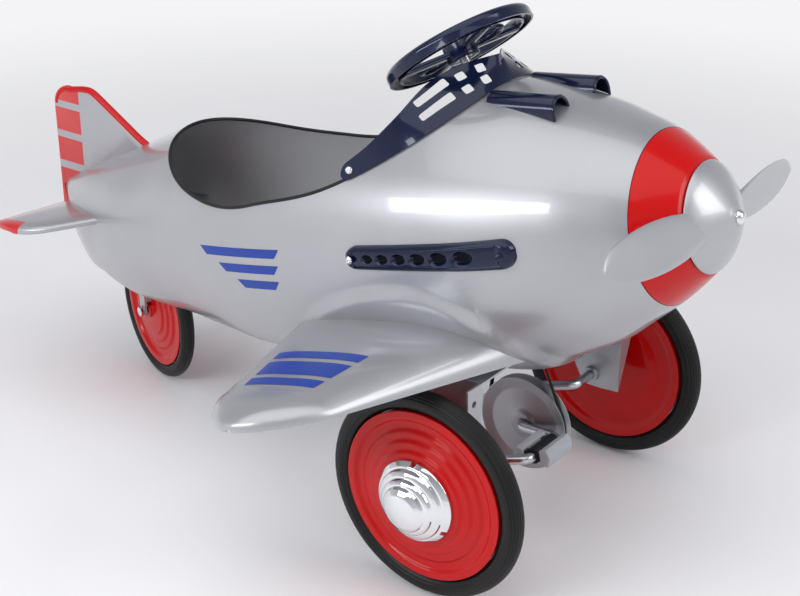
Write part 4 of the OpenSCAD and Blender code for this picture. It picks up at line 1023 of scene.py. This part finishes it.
# %% Pulley and belt
PULLEY_R, GROOVE_R, SMALL_GROOVE, BELT_R = 59.0, 48.0, 8.5, 2.5
BELT_RUN = GROOVE_R + (BELT_R + 0.4) / sin(atan2(6, 11))
SMALL_RUN = SMALL_GROOVE + (BELT_R + 0.4) / sin(atan2(5.5, 8.5))
half = [[6, 8], [14, 8], [18, 5.5], [30, 4.6], [45, 3.6], [52, 5.6], [PULLEY_R - 1, 7.5], [PULLEY_R, 7.2],
        [PULLEY_R, 6.2], [GROOVE_R + 1, 0.6]]
disc = half + [[r, -z] for r, z in half[::-1]]
piece("pulley_disc", spun(rounded(disc, 1.6, 4), 128), [PULLEY], "crank", "zinc_steel", ["drive_pulley"],
      lambda p: on_wheel(p) + np.array([0, WHEEL_Y, 0]))
UP = np.array([-sin(TILT), 0, cos(TILT)])
SHAFT_MID = on_axis(np.array([[0, 0, 303.0]]))[0]
high = [SHAFT_MID + SMALL_RUN * (UP * sin(a) - np.array([0, cos(a), 0]))
        for a in np.linspace(0, np.pi, 33)]
low = [np.array([AXLE_X + BELT_RUN * cos(a), 0, WHEEL_R + BELT_RUN * sin(a)])
       for a in np.radians(np.linspace(176, 382, 61))]
loop = np.array([high[0] - 14 * UP] + high + [high[-1] - 14 * UP] + low)
piece("round_belt", tube(loop, BELT_R, 14, True), [BELT], "airframe", "belt_rubber", ["drive_belt"])
print("belt ratio", round(BELT_RUN / SMALL_RUN, 3))

# %% [markdown]
# ## Pedals
# Each pedal has a dark cast core on its crank pin and two pale blocks with fine teeth across
# them for grip. The teeth are 2.4 mm apart and are made by stepping the block's section.
# The cores are kept from the solids.

# %% Pedals
PEDAL_Y, PEDAL_TILT, BLOCK_LEN, TOOTH = 53.0, radians(13), 50.0, 0.8


def block(pitch=2.4):
    rows = []
    for y in np.arange(-BLOCK_LEN / 2, BLOCK_LEN / 2 + 0.01, pitch / 4):
        k = 1.0 if int(round((y + BLOCK_LEN / 2) / (pitch / 4))) % 4 < 2 else 0.0
        out, tall = 20.2 + k * TOOTH, 10.2 + k * TOOTH
        corners = [[11.8, -9], [out, -tall], [24.2 + k * TOOTH, 0], [out, tall], [11.8, 9]]
        section = rounded(corners, 1.0, 2)
        rows.append(xyz(section[:, 0], y, section[:, 1]))
    return capped(np.array(rows))


def on_pedal(way):
    pin_x, pin_z = turned(way * THROW, 0.0, CRANK_TURN)

    def place(p):
        x, z = turned(p[:, 0], p[:, 2], PEDAL_TILT)
        return xyz(AXLE_X + pin_x + x, p[:, 1] - way * PEDAL_Y, WHEEL_R + pin_z + z)

    return place


verts, faces = block()
pair = join((verts, faces), (verts * np.array([-1, 1, -1]), faces))
for name, way in (("right", 1), ("left", -1)):
    piece("pedal_teeth_" + name, pair, [GREY], name + "_pedal", "grey_rubber", ["pedal_blocks_" + name],
          on_pedal(way), sharp=25)
print("pedal block length", BLOCK_LEN, "mm")

# %% [markdown]
# ## Propeller
# A spinner, shaped as a rounded cone, and two broad blades were pressed and welded. The spinner
# is spun; each blade is a closed loft whose sections widen to half way, then narrow, thin out
# and lean back towards the tip.

# %% Propeller
PROP_R, SPINNER_R, SPINNER_LEN, NUT, PROP_TURN = 205.0, 60.0, 32.0, 12.0, radians(2.5)
BLADE_ROOT, BLADE_HALF, BLADE_FRONT, BLADE_BACK, CONE = 30.0, 26.0, 30.0, 46.0, 2 / 1.35


def blade(n=60, m=36):
    t = np.arange(n + 1) / n
    q = BLADE_ROOT + (PROP_R - 0.5 - BLADE_ROOT) * (1 - (1 - t) ** 1.6)
    s = (q - BLADE_ROOT) / (PROP_R - BLADE_ROOT)
    tip = np.maximum(0, 1 - np.maximum(0, (s - 0.8) / 0.2) ** 2.4)
    wide = np.maximum(1.0, BLADE_HALF * (1 - ((s - 0.5) / 0.72) ** 2) * np.sqrt(tip))
    a = np.arange(m) * 2 * np.pi / m
    x = wide[:, None] * np.cos(a)[None, :]
    z = (4.2 - 2.6 * s + 3 * np.exp(-s / 0.08))[:, None] * np.sin(a)[None, :]
    x, z = turned(x, z, np.radians(18 - 3 * s)[:, None])
    aft = (BLADE_FRONT + (BLADE_BACK - BLADE_FRONT) * s ** 1.2)[:, None]
    return capped(xyz(x, -q[:, None], z + aft))


def swell(r, h, a):
    """A point of a rounded cone, between a straight cone and a ball."""
    return [r * cos(a) ** CONE, base - h * sin(a) ** CONE]


def on_prop(p):
    x, y = turned(p[..., 0], p[..., 1], PROP_TURN)
    return on_axis(xyz(x, y, p[..., 2]))


base = NUT / 2 + SPINNER_LEN
dome = [[5.2, NUT / 2 + 0.3], [8, NUT / 2 + 0.1]]
dome += [swell(SPINNER_R, SPINNER_LEN, a) for a in np.radians(np.linspace(68, 0, 40))]
dome += [[SPINNER_R - 1.0, base + 1.2], [SPINNER_R - 3, base]]
dome += [swell(SPINNER_R - 3, SPINNER_LEN - 4, a) for a in np.radians(np.linspace(4, 50, 20))]
dome += [[12, NUT / 2 + 8], [12, base - 2], [5.2, base - 2]]
one = blade()
both = join(spun(dome, 128), one, (one[0] * np.array([-1, -1, 1]), one[1]))
piece("propeller_pressing", both, [SILVER], "propeller_set", "silver_paint", ["propeller"], on_prop)
nut = [[0.01, 0], [2.5, 0.25], [4.6, 1.0], [6.4, 2.4], [7.6, 4.2], [8, 5.8], [5.1, 5.8], [5.1, 4.2],
       [0.01, 4.2]]
piece("spinner_acorn_nut", spun(nut, 64), [CHROME], "propeller_set", "chrome_plate", ["spinner_nut"], on_axis)
print("propeller span", 2 * PROP_R, "mm")

# %% [markdown]
# ## Steering wheel
# The wheel is cast: a thick rim, hollow below, four flat spokes and a hub with two oval loops.
# Its rest pose is turned, as the tail wheel is, so the column frame is turned with it.

# %% Steering wheel
RIM_MID, RIM_R = 82.0, 7.5
section = [[RIM_MID + RIM_R * cos(a), RIM_R * sin(a)] for a in np.radians(np.linspace(-8, 188, 40))]
section += [[RIM_MID + x, z] for x, z in ((-7.5, -7.6), (-7, -8), (-4.5, -8), (-4.5, -3), (4.5, -3),
                                           (4.5, -8), (7, -8), (7.5, -7.6))]
hub = [[6, -16], [19, -16], [19, 4], [16, 9], [12, 10], [6, 10]]
parts = [spun(section, 160), spun(rounded(hub, 2.0, 4), 64)]
for a in np.radians((45, 135, 225, 315)):
    bar = rounded([[-7, -9], [7, -9], [7, -3.5], [3.5, -2], [-3.5, -2], [-7, -3.5]], 1.4, 3)
    reach = np.linspace(14, RIM_MID - 5.5, 12)
    parts.append(capped(np.array([[[*turned(r, y, a), z] for y, z in bar] for r in reach])))
for way in (-1, 1):
    turn = np.linspace(0, 2 * np.pi, 48, endpoint=False)
    oval_path = xyz(way * 34 + 19 * np.cos(turn), 14 * np.sin(turn), -5.0)
    parts.append(tube(oval_path, 4.0, 12, True))
piece("steering_wheel_casting", join(*parts), [BLUE], "steering", "blue_paint", ["steering_wheel"], on_column)
print("steering wheel diameter", 2 * (RIM_MID + RIM_R), "mm")

# %% Steering column
JOG, FOOT = 36.0, 321.0
path = [[0, 0, -FOOT], [0, 0, -300], [0, JOG, -286], [0, JOG, -166], [0, 0, -150], [0, 0, 14]]
piece("column_bar", tube(rounded(path, 12, 8, False), 6.0, 20), [DRAWN], "steering", "zinc_steel",
      ["steering_column"], on_column)
print("column joggle", JOG, "mm")

# %% [markdown]
# ## Pieces kept from the solids
# Brackets, bushes, bearings and the fork are already right as solids. They get their plating
# or paint, and a small bevel, because no real edge is perfectly sharp.

# %% Kept solids
KEEP = {
    "axle_hanger_right": SILVER, "axle_hanger_left": SILVER, "axle_bushes": ZINC, "nose_bush": BRONZE,
    "shaft_bush": BRONZE, "shaft_bearer": ZINC, "propeller_shaft": DRAWN, "shaft_pulley": PULLEY,
    "dash_bar": ZINC, "column_foot": ZINC, "steering_nut": CHROME, "tie_rod": ZINC, "tail_fork": SILVER,
    "fork_arm": ZINC, "head_tube": ZINC, "tail_bearers": ZINC, "tail_axle": CHROME, "seat_pan": INSIDE,
    "seat_bars": ZINC, "pedal_core_right": CAST, "pedal_core_left": CAST,
}
for name, paint in KEEP.items():
    solid = nodes[name]
    solid.data.materials.clear()
    solid.data.materials.append(paint)
    weld = solid.modifiers.new("weld", "WELD")
    weld.merge_threshold = 1e-5
    ease = solid.modifiers.new("ease", "BEVEL")
    ease.width, ease.segments, ease.limit_method, ease.angle_limit = 0.0006, 2, "ANGLE", radians(35)
print("solids kept:", len(KEEP))

# %% [markdown]
# ## Markings
# Toys like this carry blue stencilled marks. Plain speed stripes stand on the fuselage side and
# plain bands on the wings, and a thin red line runs along the back from the cockpit to the
# fin. They are thin films on the sheet, made from the same curves, so they follow every
# swell of it.

# %% Side stripes and wing bands
def film(corners, surface, lift, n=24):
    """A four-sided patch of paint film, lifted off a surface that two coordinates describe."""
    a, b, c, e = [np.array(k, float) for k in corners]
    u, w = np.meshgrid(np.linspace(0, 1, n), np.linspace(0, 1, n), indexing="ij")
    uv = (a * (1 - u)[..., None] * (1 - w)[..., None] + b * u[..., None] * (1 - w)[..., None]
          + c * u[..., None] * w[..., None] + e * (1 - u)[..., None] * w[..., None])
    return sheet(surface(uv[..., 0], uv[..., 1], lift))


def side_surface(d, v, lift):
    p = xyz(-d, -skin_y(d, v), v)
    a = np.arctan2(-p[..., 1] / half_w(d), v / np.where(v > 0, fair(d, 1), fair(d, 2)))
    return skin(d, a, arch(p) + lift)


stripes = []
for k, (front, back) in enumerate(((500, 640), (506, 610), (512, 584))):
    top = 12 - 20 * k
    corners = [(front, top), (back, top), (back - 10, top - 11), (front + 10, top - 11)]
    stripes.append(film(corners, side_surface, 0.25))
both_sides("side_stripes", join(*stripes), [MARK], "blue_paint", flip=True)


def wing_surface(q, c, lift):
    p = wing_point(q, c)
    p[..., 2] += lift
    return p


bands = [film([(q, -0.55), (q + w, -0.55), (q + w + 8, 0.55), (q + 8, 0.55)], wing_surface, 0.3)
         for q, w in ((240, 16), (264, 30), (302, 16))]
both_sides("wing_bands", join(*bands), [MARK], "blue_paint", flip=False)
d, a = np.meshgrid(np.linspace(777, 868, 40), np.radians(np.linspace(-1.1, 1.1, 5)), indexing="ij")
piece("dorsal_pinstripe", sheet(skin(d, a, 0.3)), [RED], "airframe", "red_paint", at=in_body)
print("stripes on each side:", len(stripes), "bands on each wing:", len(bands))

# %% [markdown]
# ## Stage and light
# A pale floor stands in for a photographer's paper sweep. Away from the plane it fades into
# the surround, which is white paper below the horizon and a grey room above it, so the paper
# seems to have no end. Large soft lamps light the plane at a plain level, so that a colour
# renders about as it was written. One long strip lamp stands at the side: its reflection
# is the bright bar on the fuselage, which shows how the sheet curves.

# %% Floor
FLOOR_HALF, FADE_FROM, FADE_TO = 9.0, 0.9, 2.3
floor_mesh = bpy.data.meshes.new("floor")
corners = [(x * FLOOR_HALF, y * FLOOR_HALF, 0) for x, y in ((-1, -1), (1, -1), (1, 1), (-1, 1))]
floor_mesh.from_pydata(corners, [], [(0, 1, 2, 3)])
floor = bpy.data.objects.new("floor", floor_mesh)
scene.collection.objects.link(floor)
made, tree, out, place = start("white_paper_sweep")
grain = add(tree, "TexNoise", {"Scale": per_metre(400), "Detail": 2.0}, {"Vector": place})
tone = add(tree, "ValToRGB", None, {"Fac": grain}, ((0.3, "#f2f2f4"), (0.7, "#f6f6f7")))
shade = add(tree, "BsdfPrincipled", {"Roughness": 0.5, "Specular IOR Level": 0.3}, {"Base Color": tone})
far = add(tree, "VectorMath", None, {0: place}, operation="LENGTH")
fade = add(tree, "MapRange", {"From Min": FADE_FROM, "From Max": FADE_TO},
           {"Value": far.outputs["Value"]}, interpolation_type="SMOOTHSTEP")
clear = add(tree, "BsdfTransparent")
sweep = add(tree, "MixShader", None, {"Fac": fade, 1: shade, 2: clear})
tree.links.new(sweep.outputs[0], out.inputs["Surface"])
floor_mesh.materials.append(made)
print("paper fades between", FADE_FROM, "and", FADE_TO, "m from the middle")

# %% World and lamps
world = bpy.data.worlds.new("white_room")
world.use_nodes = True
scene.world = world
tree = world.node_tree
tree.nodes.clear()
way = add(tree, "TexCoord")
axes = add(tree, "SeparateXYZ", None, {"Vector": way.outputs["Generated"]})
height = add(tree, "MapRange", {"From Min": -1.0, "From Max": 1.0}, {"Value": axes.outputs["Z"]})
tone = add(tree, "ValToRGB", None, {"Fac": height},
           ((0.48, "#f4f4f6"), (0.90, "#949499"), (0.52, "#cecfd3")))
room = add(tree, "Background", {"Strength": 1.0}, {"Color": tone})
add(tree, "OutputWorld", None, {"Surface": room})


def lamp(name, at, aim, size, watts, roll=0.0):
    data = bpy.data.lights.new(name, "AREA")
    data.shape, data.size, data.size_y, data.energy = "RECTANGLE", size[0], size[1], watts
    made = bpy.data.objects.new(name, data)
    made.location = at
    made.rotation_euler = (Vector(aim) - Vector(at)).to_track_quat("-Z", "Y").to_euler()
    made.rotation_euler.rotate_axis("Z", radians(roll))
    scene.collection.objects.link(made)


lamp("overhead_soft", (0.1, -0.8, 3.2), (0.1, -0.2, 0.2), (4.6, 3.4), 58)
lamp("side_strip", (-0.4, -2.15, 1.35), (0.2, -0.15, 0.45), (2.0, 0.42), 22, 20)
lamp("front_soft", (2.45, 0.35, 1.75), (0.4, 0.0, 0.4), (1.3, 1.5), 22)
